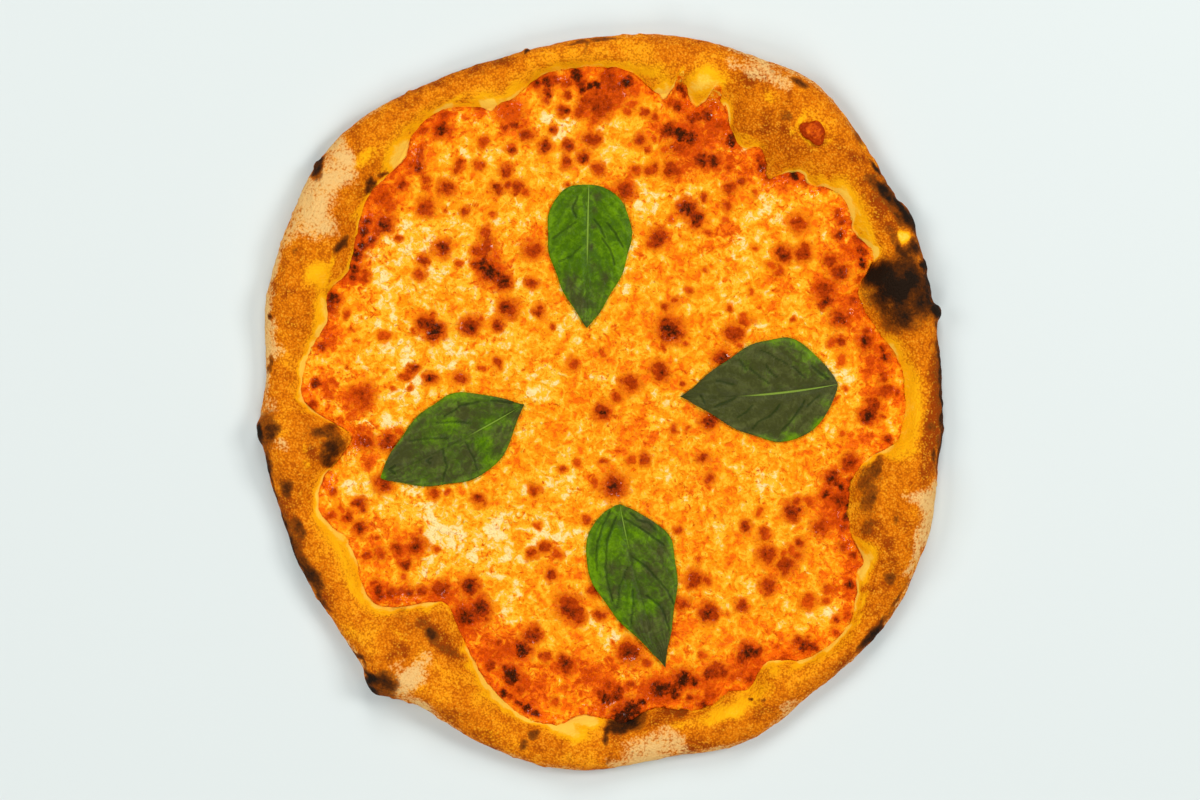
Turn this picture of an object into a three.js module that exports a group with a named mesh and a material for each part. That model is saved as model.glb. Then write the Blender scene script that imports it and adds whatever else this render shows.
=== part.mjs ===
// Margherita pizza, baked whole: a flat round of dough whose rim has puffed up unevenly, a thin layer of
// melted cheese and tomato that fills the middle, four basil leaves that lie on it, and a scrap of tomato
// on the rim. Millimetres, +Z up. The pizza rests on Z = 0. Angles are in degrees, anticlockwise from +X,
// seen from above.

import * as THREE from "three";

// ---- Driving dimensions -------------------------------------------------------------------------------

const DOUGH_THICKNESS = 3.5; // baked dough under the topping
const TOPPING_THICKNESS = 2.4; // melted cheese over tomato, away from its edge
const TOPPING_EDGE_THICKNESS = 1.1; // where it runs out against the rim
const TOPPING_EDGE_RUN = 9; // distance over which it thins
const LOW_RIM = 11.5; // crest height where the rim is narrow
const HIGH_RIM = 16.5; // crest height where the rim has puffed up wide
const NARROW_RIM = 14; // widths, from topping to outer edge, that go with those two heights
const WIDE_RIM = 34;
const CREST_INSET = 12; // the most that the crest lies inside the outer edge
const WIDEST_SHARE = 0.42; // height of the outer edge's widest line, as a share of the crest's
const UNDERCUT = 7; // how far the flat underside stops short of the outer edge
const LEAF_THICKNESS = 0.6;
const GAP = 0.3; // between neighbouring pieces
const LEAF_LIFT = 0.35; // clearance between a leaf and the highest topping near it

// Outer edge of the rim: angle, radius. One point for each bulge, hollow and scorched knob.
const OUTER_EDGE = [
  [0, 148.4], [13, 149.2], [15, 151.8], [17, 150.4], [22, 152], [31, 156.6], [37, 156], [46, 161],
  [56, 167], [66, 165], [78, 163.6], [92, 159.5], [104, 157], [114, 157.8], [124, 160.8], [134, 163.4],
  [143, 161.2], [152, 157.2], [163, 153.4], [175, 147.4], [184, 150.4], [192, 148.6], [208, 150],
  [222, 152.6], [228, 155.4], [231.5, 160.5], [236, 156.5], [240, 154.3], [250, 157.3], [261, 160.7],
  [270, 160], [280, 157.4], [293, 160.2], [306, 156.3], [320, 156.5], [337, 153.4], [349, 149],
];

// Where the topping meets the rim: angle, radius. One point for each bay of topping and each tongue of
// dough.
const TOPPING_EDGE = [
  [0, 131.5], [8, 130], [15, 123.5], [24, 121.5], [28, 133.5], [34, 133], [41, 137.3], [47, 132],
  [50, 132], [53.5, 123.5], [58, 130], [62, 126.5], [69.5, 141], [72.5, 136], [76.5, 142], [79, 136.5],
  [86, 145], [100, 145.5], [107, 137.5], [111, 137.5], [118, 145.2], [124, 144], [132, 136.3],
  [138, 136], [152.5, 125], [158.5, 129], [163, 125], [172, 130], [180, 129.5], [187.5, 110.2],
  [196, 127.5], [201, 132], [210, 126.2], [219.5, 132.8], [223, 130.5], [231, 111.5], [236, 114.5],
  [245, 128], [253, 138], [260, 142], [268, 136.5], [275, 139], [279, 135], [289, 140.5], [293, 137],
  [297, 139.3], [302.5, 133.2], [309, 142.5], [318, 143.8], [326, 134], [329.5, 131.5], [332.5, 121],
  [341.5, 113.6], [348, 117.5], [353, 129],
];

// Bubbles that the oven raised in the rim: angle, radius, reach, height.
const RIM_BUBBLES = [
  [23, 136, 10, 2.4], [52, 137, 13, 1.6], [82, 153, 10, 1], [125, 151, 12, 1.4], [146, 149, 10, 0.9],
  [160, 141, 11, 1.6], [187, 121, 10, 3], [205, 140, 10, 1.3], [229, 122, 9, 1.8], [231, 151, 8, 1.8],
  [246, 145, 13, 1.6], [266, 150, 9, 0.8], [300, 148, 10, 1], [341, 122, 10, 2.2], [341, 143, 10, 1.2],
];

// Browned blisters of cheese, the largest ones: x, y, reach.
const CHEESE_BLISTERS = [
  [35, 120, 6], [-6.5, 137, 5], [-25, 139, 4.5], [-76.4, 84.2, 4.5], [-49, 55, 6.5], [-107, 63.5, 6],
  [29.2, 31.9, 5], [100.2, 58.1, 5], [38.5, 83, 5], [116, -2, 5], [103.5, -44.5, 8],
  [71.2, -78.4, 4.5], [64.2, -107.8, 5.5], [88.2, -105, 5], [35.8, -119.8, 5.5], [10, -134, 7],
  [-15, -112.6, 6], [-38.4, -117.6, 5.5], [-33, -104, 5.5], [-57, -93.6, 6], [-58, -80.5, 5],
  [-105, -54.3, 5], [-90, -67, 6],
];
const BLISTER_HEIGHT = 0.9;

// Each basil leaf: where its stalk end and its tip lie; how wide its two halves are (left and right of
// the midrib, seen from the stalk end); how far along it is widest; how full each half is at its base and
// how blunt the tip is (below 1 is fuller, above 1 is hollower); how far the midrib bows to its left.
const BASIL_LEAVES = {
  basil_leaf_top: {
    stalk: [-6.1, 95.2],
    tip: [-7, 32.7],
    halves: [18.8, 17.9],
    widest: 0.32,
    base: [0.44, 0.28],
    end: 0.92,
    bow: 0,
  },
  basil_leaf_right: {
    stalk: [102.4, 8.2],
    tip: [33.6, 2.8],
    halves: [23, 22.2],
    widest: 0.34,
    base: [0.66, 0.8],
    end: 1.12,
    bow: 2,
  },
  basil_leaf_bottom: {
    stalk: [7.4, -44.1],
    tip: [27.3, -115.7],
    halves: [17.4, 21.1],
    widest: 0.31,
    base: [0.95, 0.46],
    end: 1.2,
    bow: 1,
  },
  basil_leaf_left: {
    stalk: [-34.3, -0.6],
    tip: [-96.9, -32.7],
    halves: [18.9, 18.7],
    widest: 0.42,
    base: [1.1, 1.1],
    end: 0.83,
    bow: 0,
  },
};

// The scrap of tomato baked into the rim.
const SCRAP = { angle: 52.1, radius: 149.3, length: 12, width: 9, height: 1.1, sunk: 0.8, lift: 0.6 };

// Facets.
const AROUND = 192; // points round the rim, halved twice towards the middle
const LEAF_ROWS = 15;
const LEAF_COLUMNS = 8;
const SCRAP_POINTS = 24;

// ---- Small mathematics --------------------------------------------------------------------------------

const TURN = 2 * Math.PI;
const radians = (degrees) => (degrees * Math.PI) / 180;
const mix = (a, b, share) => a + (b - a) * share;
const smooth = (x) => {
  const t = Math.min(1, Math.max(0, x));
  return t * t * (3 - 2 * t);
};

// A closed curve r(angle) through [angle, radius] points: a cubic between each two, level with the line
// from the point before to the point after, so that it doesn't overshoot by much.
function around(points) {
  const count = points.length;
  const at = (i) => {
    const turns = Math.floor(i / count);
    const [angle, radius] = points[i - turns * count];
    return [angle + 360 * turns, radius];
  };
  const slope = (i) => (at(i + 1)[1] - at(i - 1)[1]) / (at(i + 1)[0] - at(i - 1)[0]);
  return (angle) => {
    const degrees = ((angle % 360) + 360) % 360;
    let i = 0;
    while (i + 1 < count && points[i + 1][0] <= degrees) i += 1;
    const [a, ra] = at(i);
    const [b, rb] = at(i + 1);
    const span = b - a;
    const t = (degrees - a) / span;
    const ease = t * t * (3 - 2 * t);
    const bendA = t * (1 - t) * (1 - t) * span * slope(i);
    const bendB = t * t * (t - 1) * span * slope(i + 1);
    return mix(ra, rb, ease) + bendA + bendB;
  };
}

// A gentle uneven swell between about -1 and 1: six plane waves of nearly the same length, each turned by
// 2.4 radians from the last and shifted, so that they don't repeat over the pizza.
function swell(x, y, wavelength, shift) {
  let sum = 0;
  for (let i = 0; i < 6; i += 1) {
    const turn = 2.4 * i + shift;
    const wave = TURN / (wavelength * (0.8 + 0.12 * i));
    sum += Math.sin(wave * (x * Math.cos(turn) + y * Math.sin(turn)) + 1.7 * i * i + shift);
  }
  return sum / 3;
}

const hump = (distance, reach) => Math.exp(-2 * (distance / reach) ** 2);

// ---- The two heights that everything lies on ----------------------------------------------------------

const outerEdge = around(OUTER_EDGE);
const toppingEdge = around(TOPPING_EDGE);

// How much wider in radius a gap has to be where the topping's edge runs askew, to stay GAP wide across.
function edgeGap(angle) {
  const step = 0.5;
  const rise = toppingEdge(angle + step) - toppingEdge(angle - step);
  const run = toppingEdge(angle) * radians(2 * step);
  return GAP * Math.hypot(1, rise / run);
}

// The rim's shape at one angle: its inner and outer radius, its crest's radius and height, and its widest
// line.
function rimAt(angle) {
  const outer = outerEdge(angle);
  const inner = toppingEdge(angle) + edgeGap(angle);
  const width = outer - inner;
  const puff = smooth((width - NARROW_RIM) / (WIDE_RIM - NARROW_RIM));
  const drift = swell(outer * Math.cos(radians(angle)), outer * Math.sin(radians(angle)), 70, 1);
  const crest = mix(LOW_RIM, HIGH_RIM, puff) + 0.8 * drift;
  return {
    outer,
    inner,
    crest,
    crestRadius: outer - Math.min(width / 2, CREST_INSET),
    widest: crest * WIDEST_SHARE,
  };
}

// Height of the dough's upper side on the rim. Inside the crest it climbs from the topping, steeply at
// first; outside the crest it is a quarter of an ellipse down to the widest line. Bubbles stand on both.
function rimHeight(angle, radius) {
  const rim = rimAt(angle);
  const x = radius * Math.cos(radians(angle));
  const y = radius * Math.sin(radians(angle));
  let height;
  if (radius < rim.crestRadius) {
    const climb = Math.max(0, (radius - rim.inner) / (rim.crestRadius - rim.inner));
    const foot = DOUGH_THICKNESS + TOPPING_EDGE_THICKNESS;
    height = mix(foot, rim.crest, Math.sin((climb * Math.PI) / 2) ** 0.85);
  } else {
    const fall = Math.min(1, (radius - rim.crestRadius) / (rim.outer - rim.crestRadius));
    height = mix(rim.widest, rim.crest, Math.sqrt(1 - fall * fall));
  }
  const fromInner = smooth((radius - rim.inner) / 6);
  const fromOuter = smooth((rim.outer - radius) / 5);
  let bubbles = 0;
  for (const [bubbleAngle, bubbleRadius, reach, rise] of RIM_BUBBLES) {
    const bx = bubbleRadius * Math.cos(radians(bubbleAngle));
    const by = bubbleRadius * Math.sin(radians(bubbleAngle));
    bubbles += rise * hump(Math.hypot(x - bx, y - by), reach);
  }
  const dimple = SCRAP.sunk * hump(Math.hypot(x - scrapCentre.x, y - scrapCentre.y), SCRAP.length / 2);
  return height + fromInner * fromOuter * (bubbles + 0.5 * swell(x, y, 24, 3) - dimple);
}

const scrapCentre = {
  x: SCRAP.radius * Math.cos(radians(SCRAP.angle)),
  y: SCRAP.radius * Math.sin(radians(SCRAP.angle)),
};

// Height of the topping's upper side: thin at its edge, uneven, with blisters of browned cheese.
function toppingHeight(x, y) {
  const angle = (Math.atan2(y, x) * 180) / Math.PI;
  const fromEdge = smooth((toppingEdge(angle) - Math.hypot(x, y)) / TOPPING_EDGE_RUN);
  let rise = 0.35 * swell(x, y, 38, 5) + 0.15 * swell(x, y, 13, 7);
  for (const [bx, by, reach] of CHEESE_BLISTERS) rise += BLISTER_HEIGHT * hump(Math.hypot(x - bx, y - by), reach);
  return DOUGH_THICKNESS + GAP + mix(TOPPING_EDGE_THICKNESS, TOPPING_THICKNESS + rise, fromEdge);
}

// ---- Building solids from rings -----------------------------------------------------------------------

// One ring of points, anticlockwise: place(angle) gives [radius, height].
function ring(count, place, centre = { x: 0, y: 0 }) {
  return Array.from({ length: count }, (_, i) => {
    const angle = (360 * i) / count;
    const [radius, height] = place(angle);
    return [centre.x + radius * Math.cos(radians(angle)), centre.y + radius * Math.sin(radians(angle)), height];
  });
}

// A closed solid through rings, listed from the middle of its underside, out, up and back to the middle
// of its top. The first and last rings are single points. Neighbouring rings have the same count, or one
// twice the other's.
function solidFromRings(rings) {
  const positions = rings.flat(2);
  const starts = [];
  rings.reduce((sum, points, i) => ((starts[i] = sum), sum + points.length), 0);
  const faces = [];
  for (let i = 0; i + 1 < rings.length; i += 1) {
    const [lower, upper] = [rings[i].length, rings[i + 1].length];
    const a = (j) => starts[i] + (j % lower);
    const b = (j) => starts[i + 1] + (j % upper);
    for (let j = 0; j < Math.max(lower, upper); j += 1) {
      if (lower === upper) faces.push(a(j), b(j + 1), b(j), a(j), a(j + 1), b(j + 1));
      else if (lower === 1) faces.push(a(0), b(j + 1), b(j));
      else if (upper === 1) faces.push(a(j), a(j + 1), b(0));
      else if (upper === 2 * lower) {
        faces.push(a(Math.ceil(j / 2)), b(j + 1), b(j));
        if (j % 2) faces.push(a((j - 1) / 2), a((j + 1) / 2), b(j));
      } else {
        faces.push(a(j), a(j + 1), b(Math.ceil(j / 2)));
        if (j % 2) faces.push(a(j), b((j + 1) / 2), b((j - 1) / 2));
      }
    }
  }
  return geometryOf(positions, faces);
}

function geometryOf(positions, faces) {
  const geometry = new THREE.BufferGeometry();
  geometry.setAttribute("position", new THREE.Float32BufferAttribute(positions, 3));
  geometry.setIndex(faces);
  geometry.computeVertexNormals();
  return geometry;
}

// ---- The pieces ---------------------------------------------------------------------------------------

// Dough: a flat underside, a rounded outer edge, the rim, and the flat floor that the topping lies on.
function crustGeometry() {
  const half = AROUND / 2;
  const quarter = AROUND / 4;
  const share = (angle, of) => outerEdge(angle) * of;
  const rings = [
    [[0, 0, 0]],
    ring(quarter, (angle) => [share(angle, 0.3), 0]),
    ring(half, (angle) => [share(angle, 0.65), 0]),
  ];
  for (const turn of [0, 40, 90]) {
    rings.push(
      ring(AROUND, (angle) => {
        const rim = rimAt(angle);
        const outwards = UNDERCUT * (1 - Math.sin(radians(turn)));
        return [rim.outer - outwards, rim.widest * (1 - Math.cos(radians(turn)))];
      }),
    );
  }
  for (const turn of [30, 55, 78]) {
    rings.push(
      ring(AROUND, (angle) => {
        const rim = rimAt(angle);
        const radius = mix(rim.crestRadius, rim.outer, Math.cos(radians(turn)));
        return [radius, rimHeight(angle, radius)];
      }),
    );
  }
  for (const climb of [0.9, 0.62, 0.4, 0.22, 0.08, 0]) {
    rings.push(
      ring(AROUND, (angle) => {
        const rim = rimAt(angle);
        const radius = mix(rim.inner, rim.crestRadius, climb);
        return [radius, rimHeight(angle, radius)];
      }),
    );
  }
  rings.push(
    ring(AROUND, (angle) => [rimAt(angle).inner - 0.02, DOUGH_THICKNESS]),
    ring(half, (angle) => [toppingEdge(angle) * 0.65, DOUGH_THICKNESS]),
    ring(quarter, (angle) => [toppingEdge(angle) * 0.3, DOUGH_THICKNESS]),
    [[0, 0, DOUGH_THICKNESS]],
  );
  return solidFromRings(rings);
}

// Melted cheese and tomato: one thin layer that fills the rim.
function toppingGeometry() {
  const half = AROUND / 2;
  const quarter = AROUND / 4;
  const floor = DOUGH_THICKNESS + GAP;
  const level = (share, count) => ring(count, (angle) => [toppingEdge(angle) * share, floor]);
  const top = (share, count) =>
    ring(count, (angle) => {
      const radius = toppingEdge(angle) * share;
      return [radius, toppingHeight(radius * Math.cos(radians(angle)), radius * Math.sin(radians(angle)))];
    });
  return solidFromRings([
    [[0, 0, floor]],
    level(0.35, quarter),
    level(0.7, half),
    level(0.995, AROUND),
    ...[1, 0.97, 0.935, 0.895, 0.85, 0.8].map((share) => top(share, AROUND)),
    ...[0.745, 0.68, 0.61, 0.54, 0.47].map((share) => top(share, half)),
    ...[0.39, 0.3, 0.21, 0.11].map((share) => top(share, quarter)),
    [[0, 0, toppingHeight(0, 0)]],
  ]);
}

// Half width of a leaf, on side 0 (left) or 1 (right), at a share of its length from the stalk to the
// tip.
function leafHalfWidth(leaf, along, side) {
  const half = leaf.halves[side];
  if (along < leaf.widest) return half * Math.sin(((along / leaf.widest) * Math.PI) / 2) ** leaf.base[side];
  const towardsTip = (along - leaf.widest) / (1 - leaf.widest);
  return half * Math.max(0, Math.cos((towardsTip * Math.PI) / 2)) ** leaf.end;
}

// A basil leaf: a thin wavy sheet, creased along its midrib, arched between midrib and margin. It keeps
// LEAF_LIFT above the highest topping within reach. Both faces are split into triangles alike.
function leafGeometry(leaf) {
  const stalk = new THREE.Vector2(...leaf.stalk);
  const axis = new THREE.Vector2(...leaf.tip).sub(stalk);
  const length = axis.length();
  const forward = axis.clone().normalize();
  const left = new THREE.Vector2(-forward.y, forward.x);
  const place = (row, column) => {
    const along = row / LEAF_ROWS;
    const across = (2 * column) / LEAF_COLUMNS - 1;
    const half = leafHalfWidth(leaf, along, across < 0 ? 1 : 0);
    const bow = leaf.bow * 4 * along * (1 - along) * (1 - Math.abs(across));
    const offset = half * across + bow;
    const point = stalk.clone().addScaledVector(forward, along * length).addScaledVector(left, offset);
    const arch = 0.9 * Math.sin(Math.PI * Math.abs(across)) * Math.sin(Math.PI * along);
    const wave = 0.35 * swell(point.x, point.y, 22, 11) + 0.35;
    let under = 0;
    for (let i = 0; i < 9; i += 1) {
      const dx = ((i % 3) - 1) * 3;
      const dy = (Math.floor(i / 3) - 1) * 3;
      under = Math.max(under, toppingHeight(point.x + dx, point.y + dy));
    }
    return [point.x, point.y, under + LEAF_LIFT + arch + wave];
  };
  const positions = [];
  const corner = { under: [], over: [] };
  for (const [face, thickness] of [["under", 0], ["over", LEAF_THICKNESS]]) {
    for (let row = 0; row <= LEAF_ROWS; row += 1) {
      const pointed = row === 0 || row === LEAF_ROWS;
      const single = positions.length / 3;
      corner[face].push([]);
      for (let column = 0; column <= LEAF_COLUMNS; column += 1) {
        corner[face][row].push(pointed ? single : positions.length / 3);
        if (pointed && column > 0) continue;
        const [x, y, z] = place(row, column);
        positions.push(x, y, z + thickness);
      }
    }
  }
  const faces = [];
  const triangle = (a, b, c) => {
    if (a !== b && b !== c && c !== a) faces.push(a, b, c);
  };
  const wall = (lowA, highA, lowB, highB) => {
    triangle(lowA, lowB, highB);
    triangle(lowA, highB, highA);
  };
  for (let row = 0; row < LEAF_ROWS; row += 1) {
    for (let column = 0; column < LEAF_COLUMNS; column += 1) {
      for (const face of ["over", "under"]) {
        const p = corner[face];
        const quad = [p[row][column], p[row + 1][column], p[row + 1][column + 1], p[row][column + 1]];
        const [a, b, c, d] = face === "over" ? quad : [quad[0], quad[3], quad[2], quad[1]];
        triangle(a, b, c);
        triangle(a, c, d);
      }
    }
    const { under, over } = corner;
    wall(under[row][0], over[row][0], under[row + 1][0], over[row + 1][0]);
    wall(
      under[row + 1][LEAF_COLUMNS], over[row + 1][LEAF_COLUMNS],
      under[row][LEAF_COLUMNS], over[row][LEAF_COLUMNS],
    );
  }
  return geometryOf(positions, faces);
}

// The scrap of tomato: a low uneven cushion that follows the rim under it.
function scrapGeometry() {
  const across = radians(SCRAP.angle + 90);
  const under = (radius, angle) => {
    const x = scrapCentre.x + radius * Math.cos(radians(angle));
    const y = scrapCentre.y + radius * Math.sin(radians(angle));
    return rimHeight((Math.atan2(y, x) * 180) / Math.PI, Math.hypot(x, y)) + SCRAP.lift;
  };
  const reach = (angle) => {
    const turn = radians(angle) - across;
    const oval = 1 / Math.hypot(Math.cos(turn) / SCRAP.length, Math.sin(turn) / SCRAP.width);
    return (oval / 2) * (1 + 0.12 * Math.sin(3 * turn) + 0.06 * Math.sin(5 * turn + 1));
  };
  const layer = (share, thickness) =>
    ring(SCRAP_POINTS, (angle) => [reach(angle) * share, under(reach(angle) * share, angle) + thickness], scrapCentre);
  const middle = under(0, 0);
  return solidFromRings([
    [[scrapCentre.x, scrapCentre.y, middle]],
    layer(0.5, 0),
    layer(1, 0.05),
    layer(0.95, 0.5 * SCRAP.height),
    layer(0.6, SCRAP.height),
    [[scrapCentre.x, scrapCentre.y, middle + 0.8 * SCRAP.height]],
  ]);
}

// ---- Materials and assembly ---------------------------------------------------------------------------

const CRUST = new THREE.MeshStandardMaterial({ color: 0xd48a26, roughness: 0.75, metalness: 0 });
const CHEESE = new THREE.MeshStandardMaterial({ color: 0xf59b2c, roughness: 0.4, metalness: 0 });
const BASIL = new THREE.MeshStandardMaterial({ color: 0x3f5f1e, roughness: 0.45, metalness: 0 });
const TOMATO = new THREE.MeshStandardMaterial({ color: 0xb8430f, roughness: 0.5, metalness: 0 });

function piece(name, geometry, material) {
  const mesh = new THREE.Mesh(geometry, material);
  mesh.name = name;
  return mesh;
}

const pizza = new THREE.Group();
pizza.name = "margherita_pizza";
pizza.add(piece("crust", crustGeometry(), CRUST));
pizza.add(piece("cheese_and_tomato", toppingGeometry(), CHEESE));
for (const [name, leaf] of Object.entries(BASIL_LEAVES)) pizza.add(piece(name, leafGeometry(leaf), BASIL));
pizza.add(piece("tomato_scrap", scrapGeometry(), TOMATO));

export default pizza;
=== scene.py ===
"""Margherita pizza: its baked dough, melted cheese and tomato, basil leaves and a scrap of tomato.

Places and sizes in the tables below are in millimetres, seen from above, with +X to the right and +Y up.
Angles are in degrees, anticlockwise from +X.
"""

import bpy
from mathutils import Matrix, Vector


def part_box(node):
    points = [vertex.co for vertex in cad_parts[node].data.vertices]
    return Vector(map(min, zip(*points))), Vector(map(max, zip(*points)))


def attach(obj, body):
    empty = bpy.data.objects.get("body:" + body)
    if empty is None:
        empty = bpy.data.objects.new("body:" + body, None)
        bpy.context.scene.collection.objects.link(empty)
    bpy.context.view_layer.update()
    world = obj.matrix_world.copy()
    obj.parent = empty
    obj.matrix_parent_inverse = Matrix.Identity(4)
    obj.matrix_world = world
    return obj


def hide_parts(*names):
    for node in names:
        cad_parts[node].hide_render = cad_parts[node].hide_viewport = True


bl_info = {
    "name": "Margherita Pizza",
    "version": (1, 0, 0),
    "blender": (4, 5, 0),
    "location": "3D View > Sidebar > Pizza",
    "description": "Dresses the plain solids of a margherita pizza as baked food",
    "category": "Object",
}

from types import SimpleNamespace

import bmesh
import bpy
import numpy as np
from mathutils import Vector

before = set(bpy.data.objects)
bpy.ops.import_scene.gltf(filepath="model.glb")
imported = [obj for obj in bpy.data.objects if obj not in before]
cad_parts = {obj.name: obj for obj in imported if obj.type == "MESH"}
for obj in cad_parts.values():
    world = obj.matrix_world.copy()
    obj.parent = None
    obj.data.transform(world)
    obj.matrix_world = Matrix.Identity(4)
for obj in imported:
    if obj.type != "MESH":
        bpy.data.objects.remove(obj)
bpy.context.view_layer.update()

MM = 0.001
AROUND = 192  # angles at which the CAD's rings have their corners
COLUMNS = 960  # angles at which the dough is modelled here
TOPPING_GRID = 300  # points along each side of the square that becomes the topping
LEAF_GRID = (150, 61)  # points along and across a leaf

# ---- Where things are on this pizza ----------------------------------------------------------------------------

# Scorched patches of the rim, and a crescent of painted shade beside the topping's edge near 340°: angle,
# radius, reach round the pizza, reach outwards, strength.
SCORCHED_AND_SHADED = [
    (22.6, 138, 7, 6.5, 1.25), (25, 131.5, 4.5, 4.5, 1.2), (20.5, 133, 5, 6, 0.75), (18, 139, 9, 9, 0.52),
    (20, 148, 11, 4.5, 0.48), (16, 132, 6, 6, 0.46), (22, 127, 9, 4, 0.5), (27.3, 146.5, 3, 2.5, 0.35),
    (31, 155, 6, 2, 1.1), (27, 151.5, 3, 2, 0.8), (34, 154.5, 3, 1.5, 1), (36.5, 153, 5, 2.2, 0.75),
    (39, 152, 5, 2.5, 0.5), (34, 151, 7, 2, 0.3), (36.5, 150.5, 11, 3, 0.22), (31.8, 152, 4, 2.5, 0.4),
    (29.5, 145.5, 7, 2, 0.4), (26.2, 148.5, 3, 3.5, 0.35), (19.5, 146, 12, 4.5, 0.3), (24.5, 145.5, 6, 3.5, 0.35),
    (16, 138, 8, 8, 0.18), (25.5, 130.5, 4, 5, 0.35), (41.2, 156.8, 3, 1, 1.1), (20.5, 151.5, 2.5, 0.8, 1),
    (23.3, 152.2, 2, 0.9, 1.2), (15.3, 151, 3.2, 2.2, 1.3), (57.5, 147, 2.5, 2.4, 0.4), (58.5, 163, 4, 1.6, 0.8),
    (2, 148, 12, 0.8, 0.7), (8, 148.3, 8, 0.8, 0.7), (12.5, 148.8, 4, 0.8, 0.6), (357, 148, 10, 0.9, 0.7),
    (5, 146, 16, 2, 0.25), (351.2, 145.6, 2.6, 0.9, 0.8), (355.8, 142.8, 1.5, 1.8, 0.5), (89.5, 158.5, 6, 1, 0.55),
    (94, 157, 5, 0.8, 0.5), (102.3, 157, 0.9, 0.9, 1), (140.2, 161.5, 4, 2.3, 1.3), (141, 158, 3, 2, 0.35),
    (134, 138.2, 1.8, 0.9, 0.7), (137.2, 139, 3, 2, 0.85), (148.7, 133.2, 4, 1.7, 0.85),
    (165.5, 149.3, 1.2, 0.9, 0.7), (173.5, 145.8, 4, 1.2, 0.55), (153.7, 149.2, 2, 1.4, 0.35),
    (184.7, 144, 3.5, 3.2, 0.7), (184.5, 146.5, 9, 4.5, 0.33), (184.8, 152, 4.5, 2, 1.2), (187.5, 150, 4, 1, 1),
    (190.5, 147.5, 5, 1.8, 0.5), (193, 148.3, 8, 0.8, 0.8), (195, 141.7, 3.6, 2.8, 0.8), (202.3, 142.8, 5, 2, 0.75),
    (210.8, 147.3, 6.8, 3.6, 1.1), (200, 149, 10, 1, 0.7), (206, 149.5, 8, 1, 0.8), (215, 150, 6, 1, 0.6),
    (204, 146.5, 12, 2.5, 0.3), (185.6, 121.5, 2.6, 4, 0.75), (188.5, 117.5, 4.5, 4, 0.7),
    (192, 122.8, 2.8, 2.6, 0.8), (189.5, 121, 4, 3, 0.55), (187, 127, 6, 4, 0.2), (225.5, 153.6, 6, 1, 0.9),
    (229.3, 155.2, 3, 1.3, 1), (232, 156.3, 6.8, 5.2, 0.68), (230.8, 161, 5, 1.6, 1.2), (229.6, 157, 1.3, 2.5, 1.1),
    (232.3, 151, 4.5, 3.5, 0.42), (233.7, 125, 2.8, 2.6, 0.85), (231.2, 124, 5, 3, 0.28), (238, 127, 7, 2, 0.25),
    (225, 127, 5, 3, 0.2), (257, 152.7, 2, 2.8, 0.8), (258.3, 147.4, 2.2, 2.2, 0.6), (270.5, 144.5, 1.2, 3.8, 0.75),
    (273, 140.5, 6, 3, 0.9), (275.5, 137.5, 5, 5, 0.7), (296.5, 144.5, 1, 0.9, 0.8), (298.5, 147, 1.4, 0.8, 0.7),
    (318.8, 154.8, 8, 1.9, 1.2), (326, 154.5, 8, 1, 0.6), (329, 152.5, 3, 1.5, 0.3), (328.6, 147.2, 2.6, 2.4, 0.65),
    (328.9, 143.8, 1.8, 1.8, 0.45), (338.8, 137, 2.6, 1.4, 0.4), (352, 148.5, 7, 0.8, 0.7),
    # Painted shade: the four marks below and the first on the next line form a dark crescent beside the topping.
    (335.5, 127.3, 6, 2.2, 0.32), (339.5, 123, 6, 3, 0.42), (344, 119.5, 7, 2.8, 0.5), (347.5, 122.5, 5, 2, 0.45),
    (343, 124, 9, 2, 0.2), (311, 152, 12, 2, 0.15), (284, 137.5, 7, 3, 0.24), (26.3, 141, 3.5, 7, 0.3),
    (286.6, 135.5, 2, 1.4, 0.6), (291, 137, 6, 3, 0.15),
]

# Patches of raw flour on the rim, given like SCORCHED_AND_SHADED.
FLOURED = [
    (61, 160, 5, 4, 0.8), (65, 160, 6, 5, 0.9), (69, 158, 4, 3, 0.5), (136, 157, 4, 6, 0.9), (139, 153, 7, 8, 1),
    (144, 153, 9, 8, 1.1), (148, 148, 7, 9, 1), (147, 141, 4, 4, 0.8), (152, 156, 6, 4, 0.9), (158, 155.5, 8, 2.5, 1),
    (164, 152.5, 8, 3, 1), (168, 149.5, 6, 4, 0.9), (171, 145, 4, 5, 0.9), (176, 147, 6, 2, 0.6),
    (181, 146, 5, 4, 0.6), (186, 143, 6, 4, 0.4), (187.5, 139, 3, 2, 0.5), (234.7, 150, 5, 6.5, 1),
    (235.5, 143, 5, 6, 1.05), (235, 136, 3, 4, 0.7), (239, 152.5, 6, 2, 0.7), (232, 146, 2, 5, 0.5),
    (244, 155, 6, 1, 0.6), (272, 156, 4, 2, 0.8), (276, 152, 7, 6, 0.9), (280, 150, 7, 6, 0.85),
    (278, 157, 8, 2, 0.8), (283, 152, 3, 5, 0.5), (301.5, 154, 4, 2, 0.6), (333, 152, 5, 2.5, 0.8),
    (338, 150.5, 9, 3.4, 1.15), (343, 148.5, 6, 5.5, 1.15), (342.7, 141.5, 2.6, 6, 0.75), (346, 149.5, 3, 2, 0.6),
    (331, 151, 4, 2, 0.6), (10, 149, 8, 0.8, 0.4),
]
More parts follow.
